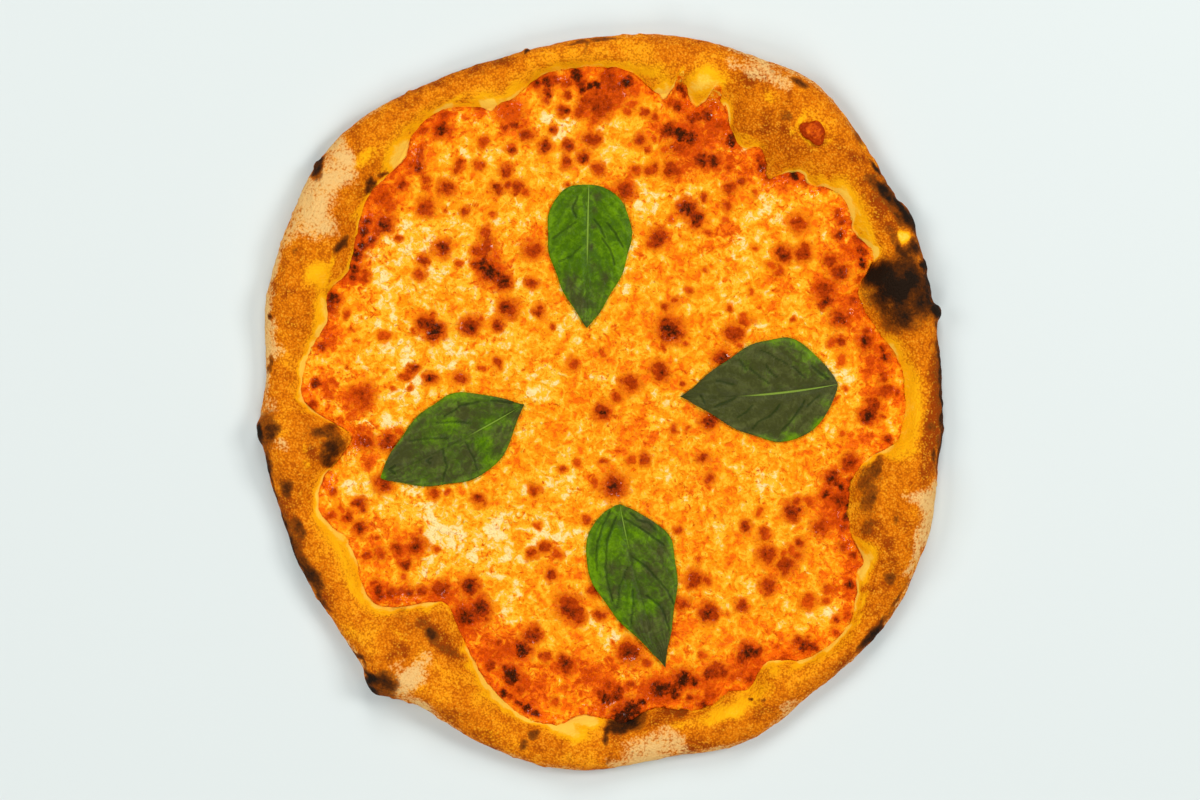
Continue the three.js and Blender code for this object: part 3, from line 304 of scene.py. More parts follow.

# Each basil leaf: where its stalk end and its tip lie; how wide its two halves are (left and right of the midrib,
# seen from the stalk end); how far along it is widest; how full each half is at its base and how blunt the tip is;
# how far the midrib bows to its left; how many pairs of side veins; and how the heat of the oven has darkened it:
# overall, more on its right half, and towards its tip.
# Each leaf's creases are bent lines, given by their corners, along which the leaf is sunk and painted with shade.
LEAVES = {
    "basil_leaf_top": dict(
        stalk=(-6.1, 95.2), tip=(-7, 32.7), halves=(18.8, 17.9), widest=0.32, base=(0.44, 0.28), end=0.92, bow=-0.3,
        veins=7, sweep=0.42, wilt=0.14, wilt_left=0.0, wilt_tip=0.4, margin=0.3, pale_rib=0.55, seed=3,
        wilted=[(-3, 90, 2.5, 0.7), (-3.5, 84, 2.5, 0.7), (-4, 77, 3, 0.6), (-5, 68, 3, 0.6), (-4, 60, 4, 0.6),
                (1, 55, 5, 0.5), (-14, 52, 5, 0.4), (-10, 44, 5, 0.5), (-13, 86, 3, 0.4), (-14, 76, 3, 0.4)],
        green=[(5, 84, 6, 0.4), (8, 66, 7, 0.6), (-20, 80, 6, 0.3), (4, 56, 4, 0.2), (-18, 64, 5, 0.3)],
        creases=[[(-10.9, 89.9), (-13.1, 85.1), (-11.8, 81.2)], [(-21.8, 72), (-16.6, 75.5), (-11.8, 78.6)],
                 [(1.7, 78.6), (5.2, 74.2), (8.7, 68.1)], [(-0.4, 72), (3.1, 66.8), (5.2, 60.2)],
                 [(-4, 80), (-1, 76), (1, 72)], [(-10, 68), (-14, 64), (-19, 62)]],
    ),
    "basil_leaf_right": dict(
        stalk=(102.4, 8.2), tip=(33.6, 2.8), halves=(23, 22.2), widest=0.34, base=(0.66, 0.8), end=1.12, bow=2,
        veins=8, sweep=0.34, wilt=1.12, wilt_left=0.0, wilt_tip=0.15, margin=0.55, pale_rib=0.6, seed=8,
        wilted=[(48, 8, 9, 0.3), (60, -2, 9, 0.2)],
        green=[(84, 24, 8, 0.5), (92, 21, 6, 0.6), (74, 28, 6, 0.5), (97, 0, 5, 0.6), (93, -9, 5, 0.8),
               (82, -17, 6, 0.8), (70, -18, 6, 0.7), (84, -8, 6, 0.4), (97, 12, 4, 0.4), (61, 18, 5, 0.3),
               (88, 14, 7, 0.3)],
        creases=[[(69, 23.1), (74.2, 20.5), (80.3, 17)], [(71.1, 16.6), (73.3, 13.1), (76, 10.9)],
                 [(63.7, 15.3), (69, 10.9), (72.5, 8.7)], [(82, 16.2), (88.2, 10.9)], [(59.4, 18.8), (62, 14.4)],
                 [(49.8, 9.6), (56.7, 7.9)], [(48.9, -1.7), (54.1, 0.4), (57.6, 2.6)],
                 [(58.5, -6.1), (62, -3.9), (65, -0.9)],
                 [(65, -11.3), (68.1, -7.9), (72.5, -5.7), (75.5, -3.1), (76.8, -0.9)], [(89, -1.3), (94.3, 3.1)],
                 [(42.8, 3.1), (44.5, -0.4)], [(78, -12), (84, -5), (88, 1)], [(91, 16), (98, 10.5)]],
    ),
    "basil_leaf_bottom": dict(
        stalk=(7.4, -44.1), tip=(27.3, -115.7), halves=(17.4, 21.1), widest=0.31, base=(0.95, 0.46), end=1.2, bow=-1.8,
        veins=8, sweep=0.55, wilt=0.42, wilt_left=0.12, wilt_tip=0.3, margin=0.35, pale_rib=0.24, seed=5,
        wilted=[(19.5, -52, 5, 0.8), (26, -64, 5, 0.4), (21, -72, 5, 0.4), (3, -72, 4, 0.6), (0, -67, 2, 0.4),
                (18, -98, 7, 0.4), (25, -108, 6, 0.4), (10, -74, 4, 0.4), (5, -82, 3, 0.4)],
        green=[(-2, -56, 5, 0.6), (-1, -66, 3, 0.8), (-4, -72, 4, 0.5), (5, -56, 3, 0.4), (13, -57, 5, 0.5),
               (16, -70, 4, 0.4), (11, -87, 4, 0.6), (20.5, -88, 4, 0.6), (8, -92, 4, 0.4), (30, -60, 3, 0.3),
               (28, -98, 3, 0.3)],
        creases=[[(3.1, -46.7), (-1.3, -56.7), (-3.1, -64.2), (-2.6, -72.9)],
                 [(5.7, -49.8), (2.2, -58.9), (0.9, -71.6), (3.9, -86)], [(10.5, -71.6), (7.4, -80.3), (6.1, -89)],
                 [(13.1, -81.6), (13.1, -91.7), (11.8, -97.8)], [(9.6, -50.2), (19.2, -56.3), (26.2, -62)],
                 [(13.1, -67.2), (20.5, -72.9), (27.9, -81.6), (31.9, -89)],
                 [(19.2, -83.8), (25.8, -89.5), (29.2, -99.1)],
                 [(12, -48), (15, -51), (20, -52), (22.5, -55)]],
    ),
    "basil_leaf_left": dict(
        stalk=(-34.3, -0.6), tip=(-96.9, -32.7), halves=(18.9, 18.7), widest=0.42, base=(1.1, 1.1), end=0.83, bow=1.2,
        veins=8, sweep=0.45, wilt=0.68, wilt_left=0.05, wilt_tip=0.15, margin=0.4, pale_rib=0.38, seed=12,
        wilted=[(-90, -24, 6, 0.5), (-74, -24, 7, 0.4), (-60, -5, 6, 0.3), (-44, 0, 4, 0.4), (-58, -22, 6, 0.2)],
        green=[(-50, -10, 4, 0.7), (-52, -18, 5, 0.8), (-50, -25, 5, 0.5), (-66, -9, 5, 0.5), (-97, -32, 3.5, 1.2),
               (-64, 4, 8, 0.3), (-43, -8, 4, 0.3), (-82, -34, 8, 0.2)],
        creases=[[(-36.2, 0), (-48.9, 1.3)], [(-54.1, 0.4), (-61.5, -0.9), (-69.4, -5.7)],
                 [(-58, -8.7), (-65.5, -7.9), (-72.5, -8.7)],
                 [(-67.7, -15.3), (-77.3, -15.3), (-84.2, -16.6)], [(-75, -23.5), (-77, -24.9), (-75, -26.2)],
                 [(-90.5, -27.5), (-93, -29), (-91, -30.5)], [(-60, -17), (-56, -24), (-55, -29)],
                 [(-70, -20), (-68, -28), (-70, -34)]],
    ),
}

# The scrap of tomato: the angle of its place on the rim, its length along the rim and its width.
SCRAP = dict(angle=52.1, length=12, width=9)

# ---- Sizes and colours a user can change -----------------------------------------------------------------------


def linear(red, green, blue):
    """A colour given as 0 to 255 on a screen, as the linear values that Blender's colour properties hold."""
    value = np.array([red, green, blue]) / 255
    return tuple(np.where(value <= 0.04045, value / 12.92, ((value + 0.055) / 1.055) ** 2.4))


def length(name, description, default):
    """A length property whose default is given in millimetres."""
    return bpy.props.FloatProperty(name=name, description=description, default=default * MM, unit="LENGTH", precision=5)


def colour(name, description, *screen):
    """A colour property whose default is given as 0 to 255 on a screen."""
    return bpy.props.FloatVectorProperty(
        name=name, description=description, default=linear(*screen), size=3, min=0, max=1, subtype="COLOR"
    )


class PizzaSizes(bpy.types.PropertyGroup):
    """How rough and how thick the parts of the pizza are."""

    dough_lumps: length("Dough lumps", "Height of the broad unevenness of the rim", 0.5)
    dough_pimples: length("Dough pimples", "Height of the small blisters of the rim", 0.22)
    topping_middle: length("Topping thickness", "Thickness of cheese and tomato away from the edge", 2.5)
    topping_edge: length("Topping edge", "Thickness of cheese and tomato where it meets the rim", 1.2)
    cheese_lumps: length("Cheese lumps", "Height of the unevenness of the melted cheese", 0.5)
    blister_height: length("Blister height", "Height of the largest cheese blister", 1.1)
    leaf_thickness: length("Leaf thickness", "Thickness of a basil leaf", 0.45)
    leaf_lift: length("Leaf clearance", "Gap between a leaf and the highest topping near it", 0.25)
    leaf_quilting: length("Leaf quilting", "How far a leaf swells between its side veins", 0.3)


class PizzaColours(bpy.types.PropertyGroup):
    """The colours that the materials are mixed from."""

    honey: colour("Honey dough", "Lightly baked dough", 250, 157, 13)
    golden: colour("Golden dough", "Evenly baked dough", 221, 118, 2)
    toasted: colour("Toasted dough", "Dough baked brown", 151, 60, 0)
    bubbled: colour("Bubbled dough", "Tiny raised bubbles of the dough's skin", 252, 179, 48)
    yellow: colour("Yellow dough", "Smooth dough beside the topping", 255, 180, 8)
    buttery: colour("Buttery dough", "Palest smooth dough", 255, 208, 76)
    flour: colour("Flour", "Raw flour on the dough", 233, 185, 112)
    # Singed and scorched dough also paint a crescent of shade beside the topping near 340°.
    singed: colour("Singed dough", "Brown dough round the scorched dough", 124, 60, 6)
    scorched: colour("Scorched dough", "Dark brown dough round the char", 80, 38, 5)
    char: colour("Char", "Burnt dough", 33, 21, 11)
    cream: colour("Cream cheese", "Thick pale cheese", 255, 224, 150)
    curdled: colour("Curdled cheese", "Cheese with little oil in it", 255, 186, 38)
    melted: colour("Melted cheese", "Cheese with oil in it", 255, 150, 10)
    orange: colour("Orange cheese", "Thin cheese over tomato", 246, 106, 6)
    tomato: colour("Tomato", "Tomato that shows through", 206, 69, 2)
    browned: colour("Browned cheese", "Skin of a cheese blister", 164, 50, 0)
    burnt: colour("Burnt cheese", "Middle of the darkest blisters", 60, 22, 2)
    fresh: colour("Fresh basil", "Leaf that stayed green", 62, 95, 0)
    # Bright basil also paints the highlight on the swellings between a leaf's side veins.
    bright: colour("Bright basil", "Light patches of a green leaf", 103, 143, 2)
    wilted: colour("Wilted basil", "Leaf darkened by heat", 60, 61, 26)
    withered: colour("Withered basil", "Greyer patches of a wilted leaf", 83, 83, 44)
    rib: colour("Leaf rib", "Midrib and main veins", 132, 159, 56)
    floor: colour("Floor", "The table under the pizza", 214, 221, 219)


class PizzaLook(bpy.types.PropertyGroup):
    """Everything that the panel shows."""

    sizes: bpy.props.PointerProperty(type=PizzaSizes)
    colours: bpy.props.PointerProperty(type=PizzaColours)


def sizes():
    """The sizes that the panel shows, in millimetres."""
    group = bpy.context.scene.pizza.sizes
    return SimpleNamespace(**{key: getattr(group, key) / MM for key in PizzaSizes.__annotations__})


def colours():
    """The colours that the panel shows."""
    return bpy.context.scene.pizza.colours


# ---- Mathematics on whole arrays -------------------------------------------------------------------------------


def ease(low, high, value):
    """0 up to low and 1 from high on, with a smooth S between them; falls instead if low is above high."""
    t = np.clip((value - low) / (high - low), 0, 1)
    return t * t * (3 - 2 * t)


def mix(a, b, share):
    """a where share is 0, b where it's 1, and evenly between them."""
    return a + (b - a) * share


def polar(x, y):
    """Radius and angle of a place."""
    return np.hypot(x, y), np.degrees(np.arctan2(y, x)) % 360


def level(radius, angle):
    """x and y of a place: its radius times the cosine and the sine of its angle."""
    return radius * np.cos(np.radians(angle)), radius * np.sin(np.radians(angle))


def turned(angle, place):
    """How far round the pizza an angle lies from a place, from -180 to 180."""
    return (angle - place + 180) % 360 - 180


NOISE_CELLS = 32  # cells on each axis, after which the noise repeats
NOISE_LIFT = 0.37  # keeps level ground between the noise's layers of corners


def lattice_noise(x, y, z, size, seed):
    """Smooth random values from -1 to 1: seeded values on the corners of cubes of that size, eased in between. The
    seed also turns the cubes, so that two noises never line up."""
    corners = np.random.default_rng(seed).uniform(-1, 1, (NOISE_CELLS,) * 3)
    turn = 0.5 + seed
    u = (x * np.cos(turn) - y * np.sin(turn)) / size
    v = (x * np.sin(turn) + y * np.cos(turn)) / size
    w = z / size + NOISE_LIFT
    i, j, k = (np.floor(c).astype(int) for c in (u, v, w))
    fu, fv, fw = (ease(0, 1, c - np.floor(c)) for c in (u, v, w))

    def corner(a, b, c):
        return corners[(i + a) % NOISE_CELLS, (j + b) % NOISE_CELLS, (k + c) % NOISE_CELLS]

    planes = [
        mix(mix(corner(0, 0, c), corner(1, 0, c), fu), mix(corner(0, 1, c), corner(1, 1, c), fu), fv) for c in (0, 1)
    ]
    return mix(*planes, fw)


def layered(x, y, z, size, seed, layers=3):
    """Noise from about -1 to 1 whose detail repeats at half the size and 0.55 times the strength, layer by layer."""
    total = sum(0.55**n * lattice_noise(x, y, z, size / 2**n, seed + n) for n in range(layers))
    return total / sum(0.55**n for n in range(layers)) * 1.4


def peaks(x, y, z, size, seed, above):
    """The tops of lattice noise: how far it stands above that value, and 0 where it doesn't."""
    return np.maximum(0, lattice_noise(x, y, z, size, seed) - above)


def near(x, y, marks):
    """The sum over marks (x, y, reach, strength) of strength times a bell curve that is down to 0.14 at reach."""
    total = np.zeros_like(x)
    for mx, my, reach, strength in marks:
        total += strength * np.exp(-2 * ((x - mx) ** 2 + (y - my) ** 2) / reach**2)
    return total


def near_round(x, y, marks, power=2):
    """The sum over marks (angle, radius, reach round the pizza, reach outwards, strength) of strength times a bell
    curve of that power, which is down to a half at reach."""
    radius, angle = polar(x, y)
    total = np.zeros_like(x)
    for place, distance, along, outwards, strength in marks:
        turn = np.radians(turned(angle, place)) * distance
        total += strength * np.exp(-0.7 * ((turn / along) ** 2 + ((radius - distance) / outwards) ** 2) ** power)
    return total


def bells(angle, marks):
    """For each mark (angle, reach, size), its size times a flat-topped bell curve that is down to a half at reach."""
    return [size * np.exp(-0.7 * (turned(angle, place) / reach) ** 4) for place, reach, size in marks]


def near_lines(x, y, lines, width):
    """1 on any of the bent lines, given by their corners, and 0 from width away from them."""
    closest = np.full(x.shape, 1e3)
    for line in lines:
        for (ax, ay), (bx, by) in zip(line, line[1:]):
            along = ((x - ax) * (bx - ax) + (y - ay) * (by - ay)) / ((bx - ax) ** 2 + (by - ay) ** 2)
            along = np.clip(along, 0, 1)
            closest = np.minimum(closest, np.hypot(x - ax - along * (bx - ax), y - ay - along * (by - ay)))
    return ease(width, 0.2 * width, closest)


def denser(values, count):
    """Values given round the pizza at equal angles, at more angles: their Fourier series, with its shortest waves
    damped so that it doesn't ring."""
    damped_from = 75.0  # waves round the pizza
    waves = np.fft.rfft(values, axis=-1)
    waves *= np.exp(-((np.arange(waves.shape[-1]) / damped_from) ** 4))
    return np.fft.irfft(waves, n=count, axis=-1) * count / values.shape[-1]


# ---- Reading the CAD -------------------------------------------------------------------------------------------


def corners_of(node):
    """The corners of a CAD node, each once, in millimetres, with their radius and their place round the pizza."""
    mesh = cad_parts[node].data
    flat = np.empty(3 * len(mesh.vertices), np.float32)
    mesh.vertices.foreach_get("co", flat)
    points = np.unique(np.round(flat.reshape(-1, 3) / MM, 3), axis=0)
    radius, angle = polar(points[:, 0], points[:, 1])
    return points, radius, np.rint(angle * AROUND / 360).astype(int) % AROUND


def outline(node):
    """A node's largest radius at each of the CAD's angles."""
    _, radius, slot = corners_of(node)
    reach = np.zeros(AROUND)
    np.maximum.at(reach, slot, radius)
    return reach


def rim_rings():
    """The CAD crust's rings outside the topping, as [radius or height, ring, angle], from the edge of the flat
    underside, out, up over the crest and down to the floor under the topping. At each angle the corners are put in
    order by their direction, as seen from a point inside the rim."""
    slack, eye_height, first_direction = 0.2, 2.5, -120
    points, radius, slot = corners_of("crust")
    inner, outer = outline("cheese_and_tomato"), outline("crust")
    keep = radius > inner[slot] - slack
    radius, height, slot = radius[keep], points[keep, 2], slot[keep]
    direction = np.degrees(np.arctan2(height - eye_height, radius - (inner + outer)[slot] / 2))
    order = np.lexsort(((direction - first_direction) % 360, slot))
    return np.array([radius[order], height[order]]).reshape(2, AROUND, -1).transpose(0, 2, 1)


# Radius of the topping's edge and of the pizza's, at a great many angles.
DENSE = 3840
TOPPING_EDGE = denser(outline("cheese_and_tomato"), DENSE)
OUTER_EDGE = denser(outline("crust"), DENSE)
DENSE_ANGLES = np.arange(DENSE) * 360 / DENSE
TOPPING_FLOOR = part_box("cheese_and_tomato")[0].z / MM


def topping_edge(angle):
    """Radius of the topping's edge in the CAD."""
    return np.interp(angle, DENSE_ANGLES, TOPPING_EDGE, period=360)


def outer_edge(angle):
    """Radius of the pizza's edge in the CAD."""
    return np.interp(angle, DENSE_ANGLES, OUTER_EDGE, period=360)


def frayed_edge(angle):
    """Radius of the topping's edge, with irregular bays of three sizes and with the bulges in EDGE_BULGES. The noise
    is read along a circle, so that it depends on the angle alone."""
    circle, overlap = 135, 0.5
    x, y = level(circle, angle)
    fray = lattice_noise(x, y, 0, 7.5, 20) + 0.9 * lattice_noise(x, y, 0, 3.6, 21)
    fray += 0.45 * lattice_noise(x, y, 0, 1.6, 22)
    return topping_edge(angle) + overlap + sum(bells(angle, EDGE_BULGES), fray)


# ---- Making meshes ---------------------------------------------------------------------------------------------


def make_piece(name, points, faces, node, material, **attributes):
    """A smooth-shaded mesh object of those points, in millimetres, that stands for a CAD node and rides with it.
    Faces are blocks of three or four point numbers in a row, and each attribute holds one number for each point."""
    mesh = bpy.data.meshes.new(name)
    mesh.vertices.add(len(points))
    mesh.vertices.foreach_set("co", (points * MM).astype(np.float32).ravel())
    loops = np.concatenate([block.ravel() for block in faces])
    counts = np.concatenate([np.full(len(block), block.shape[1]) for block in faces])
    mesh.loops.add(len(loops))
    mesh.loops.foreach_set("vertex_index", loops.astype(np.int32))
    mesh.polygons.add(len(counts))
    mesh.polygons.foreach_set("loop_start", (np.cumsum(counts) - counts).astype(np.int32))
    mesh.polygons.foreach_set("use_smooth", np.ones(len(counts), bool))
    mesh.update(calc_edges=True)
    for key, values in attributes.items():
        mesh.attributes.new(key, "FLOAT", "POINT").data.foreach_set("value", np.asarray(values, np.float32).ravel())
    mesh.validate()
    mesh.materials.append(material)
    piece = bpy.data.objects.new(name, mesh)
    bpy.context.scene.collection.objects.link(piece)
    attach(piece, "root")
    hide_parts(node)
    return piece


def band_faces(lower, upper):
    """Faces between two rings of point numbers, facing out when upper lies above and they run anticlockwise."""
    return np.stack([lower, np.roll(lower, -1), np.roll(upper, -1), upper], -1)


def ring_faces(rows, columns, start=0):
    """Faces between rows of points that each go once round, from the lowest row up."""
    rings = start + np.arange(rows * columns).reshape(rows, columns)
    return np.concatenate([band_faces(lower, upper) for lower, upper in zip(rings, rings[1:])])


def fan_faces(ring, centre, outwards):
    """Triangles from a ring of point numbers to a centre point."""
    beside = np.roll(ring, -1)
    middle = np.full_like(ring, centre)
    return np.stack([ring, beside, middle] if outwards else [beside, ring, middle], -1)


def grid_faces(rows, columns):
    """Faces of an open grid of points, and the numbers of the points once round its border."""
    number = np.arange(rows * columns).reshape(rows, columns)
    corners = number[:-1, :-1], number[1:, :-1], number[1:, 1:], number[:-1, 1:]
    border = np.concatenate([number[:-1, 0], number[-1, :-1], number[:0:-1, -1], number[0, :0:-1]])
    return np.stack(corners, -1).reshape(-1, 4), border


# ---- Shader building -------------------------------------------------------------------------------------------


class Graph:
    """Short names for adding and joining shader nodes in one tree."""

    def __init__(self, tree):
        self.tree = tree
        self.spot = None

    def fill(self, node, inputs):
        """Give a node's inputs, by name or number, constants or the outputs of other nodes."""
        for key, value in inputs.items():
            socket = node.inputs[key]
            if isinstance(value, bpy.types.NodeSocket):
                self.tree.links.new(value, socket)
            else:
                value = tuple(value) if hasattr(value, "__len__") else value
                socket.default_value = (*value, 1) if socket.type == "RGBA" and len(value) == 3 else value

    def node(self, kind, inputs=None, **settings):
        """A new shader node of that kind."""
        node = self.tree.nodes.new("ShaderNode" + kind)
        for key, value in settings.items():
            setattr(node, key, value)
        self.fill(node, inputs or {})
        return node

    def math(self, operation, *values):
        """What a Math node makes of the values."""
        return self.node("Math", dict(enumerate(values)), operation=operation).outputs[0]

    def times(self, a, b):
        """a times b."""
        return self.math("MULTIPLY", a, b)

    def plus(self, value, *shares):
        """A value to which shares of others are added, each given as (other, share)."""
        for other, share in shares:
            value = self.math("MULTIPLY_ADD", other, share, value)
        return value

    def ease(self, low, high, value):
        """0 up to low and 1 from high on, with a smooth S between them; falls instead if low is above high."""
        inputs = {"Value": value, "From Min": low, "From Max": high}
        return self.node("MapRange", inputs, interpolation_type="SMOOTHSTEP").outputs["Result"]

    def blend(self, share, a, b):
        """Colour a where share is 0, b where it's 1."""
        return self.node("Mix", {0: share, 6: a, 7: b}, data_type="RGBA").outputs[2]

    def layers(self, base, *layers):
        """Colours laid over a base one after another. Each layer is (colour, value, low, high, most): it hides
        nothing up to where value is low, and from where value is high the share most of what is under it, or all
        of it if most isn't given."""
        for paint, value, low, high, *most in layers:
            share = self.ease(low, high, value)
            base = self.blend(self.times(share, *most) if most else share, base, paint)
        return base

    def attribute(self, name):
        """A number that the mesh holds for each point."""
        return self.node("Attribute", attribute_name=name).outputs["Fac"]

    def place(self):
        """The place on the object that is being shaded."""
        if self.spot is None:
            self.spot = self.node("TexCoord").outputs["Object"]
        return self.spot

    def noise(self, scale, detail, roughness, distortion=0.0):
        """Noise from 0 to 1 with that many swings to the metre, fixed to the object."""
        inputs = {"Vector": self.place(), "Scale": scale, "Detail": detail, "Roughness": roughness}
        return self.node("TexNoise", {**inputs, "Distortion": distortion}).outputs["Fac"]

    def swing(self, *settings):
        """The same noise, but around 0."""
        return self.math("SUBTRACT", self.noise(*settings), 0.5)

    def bump(self, height, strength, distance):
        """The normal of a surface with that relief, whose height from 0 to 1 stands for a distance in metres."""
        return self.node("Bump", {"Height": height, "Strength": strength, "Distance": distance}).outputs["Normal"]


def new_material(name):
    """A material, with the graph of its nodes and its shader."""
    material = bpy.data.materials.new(name)
    material.use_nodes = True
    return material, Graph(material.node_tree), material.node_tree.nodes["Principled BSDF"]


def crumb_group():
    """The grain of baked food: round grains in a darker net, on a broader mottle. Mask is 1 in the middle of a light
    grain and 0 in the net; Height is the relief of the same grains; Speckle is a finer noise around 0."""
    if "Crumb" in bpy.data.node_groups:
        return bpy.data.node_groups["Crumb"]
    group = bpy.data.node_groups.new("Crumb", "ShaderNodeTree")
    for key, default in {"Grains per metre": 900.0, "Mottle per metre": 260.0}.items():
        group.interface.new_socket(key, in_out="INPUT", socket_type="NodeSocketFloat").default_value = default
    for key in ("Mask", "Height", "Speckle"):
        group.interface.new_socket(key, in_out="OUTPUT", socket_type="NodeSocketFloat")
    given = group.nodes.new("NodeGroupInput").outputs
    g = Graph(group)
    speckle = g.swing(g.times(given["Grains per metre"], 0.7), 2.0, 0.6)
    inputs = {"Vector": g.place(), "Scale": given["Grains per metre"], "Randomness": 1.0}
    grain = g.node("TexVoronoi", inputs, feature="F1").outputs["Distance"]
    round_grain = g.math("SUBTRACT", 1.0, g.times(grain, 1.45))
    mottle = g.times(g.swing(given["Mottle per metre"], 3.0, 0.6), 0.9)
    shift = g.math("ADD", mottle, g.times(speckle, 1.4))
    mask = g.math("ADD", g.times(round_grain, 0.6), g.math("ADD", shift, 0.25))
    height = g.math("ADD", round_grain, shift)
    g.fill(group.nodes.new("NodeGroupOutput"), {"Mask": mask, "Height": height, "Speckle": speckle})
    return group


def add_crumb(graph, grains, mottle):
    """The crumb's mask, height and speckle, with so many grains and so much mottle to the metre."""
    inputs = {"Grains per metre": grains, "Mottle per metre": mottle}
    node = graph.node("Group", inputs, node_tree=crumb_group())
    return (node.outputs[key] for key in ("Mask", "Height", "Speckle"))


# ---- Dough -----------------------------------------------------------------------------------------------------


def dough_material():
    """Baked dough: golden with light grains, toasted in patches, smooth and yellow beside the topping, floury and
    scorched in patches, with a crescent of painted shade beside the topping near 340° in the char's colours."""
    c = colours()
    material, g, shader = new_material("baked dough")
    mask, height, speckle = add_crumb(g, 1050.0, 300.0)
    coarse = g.swing(110.0, 4.0, 0.6)
    grain = g.math("SUBTRACT", mask, 0.5)
    smooth = g.ease(0.3, 1.1, g.attribute("lip"))
    rough_skin = g.math("SUBTRACT", 1.0, g.times(smooth, 0.85))

    def roughened(name, by_grain, by_speckle, by_coarse):
        """A mark whose edge is broken up by the grain."""
        return g.plus(g.attribute(name), (grain, by_grain), (speckle, by_speckle), (coarse, by_coarse))

    toast, lip = roughened("toast", -0.35, 0.6, 1.7), roughened("lip", 0.25, 0.3, 0.6)
    flour, dusted = roughened("flour", 0.8, 1.2, 0.6), g.ease(0.05, 0.35, g.attribute("flour"))
    char = g.attribute("char")
    char = g.math("ADD", char, g.times(g.ease(0.0, 0.35, char), g.plus(g.times(coarse, 0.7), (speckle, 0.9))))
    base = g.layers(
        c.honey,
        (c.golden, toast, -0.1, 0.5),
        (c.toasted, toast, 0.5, 1.1),
        (c.bubbled, mask, 0.45, 0.95, g.times(rough_skin, 0.42)),
        (c.toasted, mask, 0.5, 0.05, g.times(rough_skin, 0.5)),
        (c.yellow, lip, 0.05, 0.75, 0.95),
        (c.buttery, lip, 0.8, 1.4, 0.9),
        (c.flour, flour, 0.0, 1.15, dusted),
        # The singed and scorched colours also paint the crescent of shade that the char attribute holds beside the
        # topping.
        (c.singed, char, 0.05, 0.45, 0.85),
        (c.scorched, char, 0.4, 0.85),
        (c.char, char, 0.75, 1.35),
    )
    relief = g.times(height, g.plus(0.25, (rough_skin, 0.75)))
    g.fill(shader, {"Base Color": base, "Roughness": g.plus(0.8, (smooth, -0.3)), "Specular IOR Level": 0.06})
    g.fill(shader, {"Normal": g.bump(relief, 0.7, 0.0004)})
    return material


def spline_rows(counts):
    """Weights that carry a smooth curve through control rows (Catmull-Rom): each row of the result is one point of
    the curve, and counts says how many points lie from each control row to the next."""
    rows = len(counts) + 1
    at = np.concatenate([span + np.arange(count) / count for span, count in enumerate(counts)] + [[rows - 1.0]])
    span = np.minimum(at.astype(int), rows - 2)
    t = (at - span)[:, None]
    weights = 0.5 * np.hstack([-t + 2 * t**2 - t**3, 2 - 5 * t**2 + 3 * t**3, t + 4 * t**2 - 3 * t**3, t**3 - t**2])
    matrix = np.zeros((len(at), rows))
    for column in range(4):
        np.add.at(matrix, (np.arange(len(at)), np.clip(span - 1 + column, 0, rows - 1)), weights[:, column])
    return matrix


def surface_normals(points):
    """Unit normals of points [row, column, xyz] whose columns go round: the cross product of the step to the next
    column and the step to the next row."""
    along = np.roll(points, -1, 1) - np.roll(points, 1, 1)
    across = np.gradient(points, axis=0)
    normal = np.cross(along, across)
    return normal / np.maximum(np.linalg.norm(normal, axis=-1, keepdims=True), 1e-9)


def dough_surface():
    """The dough's points [row, column, xyz] from the middle of the underside round the rim to the middle of the
    floor. The CAD's rings are carried round by a Fourier series and across by a spline, then moved along the normals
    by lumps, pimples and knobs, which fade out on the flat parts."""
    s = sizes()
    spans = [4, 5, 6, 6, 6, 7, 8, 7, 6, 6, 4, 2]  # points from each of the CAD's rings to the next
    under_shares, floor_shares = [0.3, 0.6, 0.8, 0.92, 0.98], [0.9, 0.5]  # of the radius where each begins
    tucked = [0.6, 1.6]  # how far the last two rings lie under the topping's edge
    rings = denser(rim_rings(), COLUMNS)
    radius, height = (spline_rows(spans) @ half for half in rings)
    angle = np.arange(COLUMNS) * 360 / COLUMNS
    radius[-2:] = frayed_edge(angle) - np.array(tucked)[:, None]
    height = np.maximum(height, 0)
    under = np.array(under_shares)[:, None] * radius[0]
    floor = np.array(floor_shares)[:, None] * radius[-1]
    radius = np.vstack([under, radius, floor])
    height = np.vstack([0 * under, height, 0 * floor + height[-1]])
    x, y = level(radius, angle)
    points = np.stack([x, y, height], -1)

    rows = np.arange(len(radius))[:, None] * np.ones(COLUMNS)
    first, last = len(under), len(radius) - len(floor) - 1
    share = ease(first, first + 6, rows) * ease(last, last - 9, rows)
    lumps = s.dough_lumps * layered(x, y, height, 15, 31, 2)
    pimples = s.dough_pimples * (layered(x, y, height, 3.2, 41, 2) + 1.6 * peaks(x, y, height, 4.5, 43, 0.35))
    knobs = 1.3 * peaks(x, y, height, 3.4, 47, 0.52) + sum(bells(angle, EDGE_KNOBS))
    knobs *= ease(6, 1.5, outer_edge(angle) - radius) * ease(0.5, 2.5, height)
    moved = points + surface_normals(points) * (share * (lumps + pimples + knobs))[..., None]
    moved[..., 2] = np.maximum(moved[..., 2], 0)
    return moved


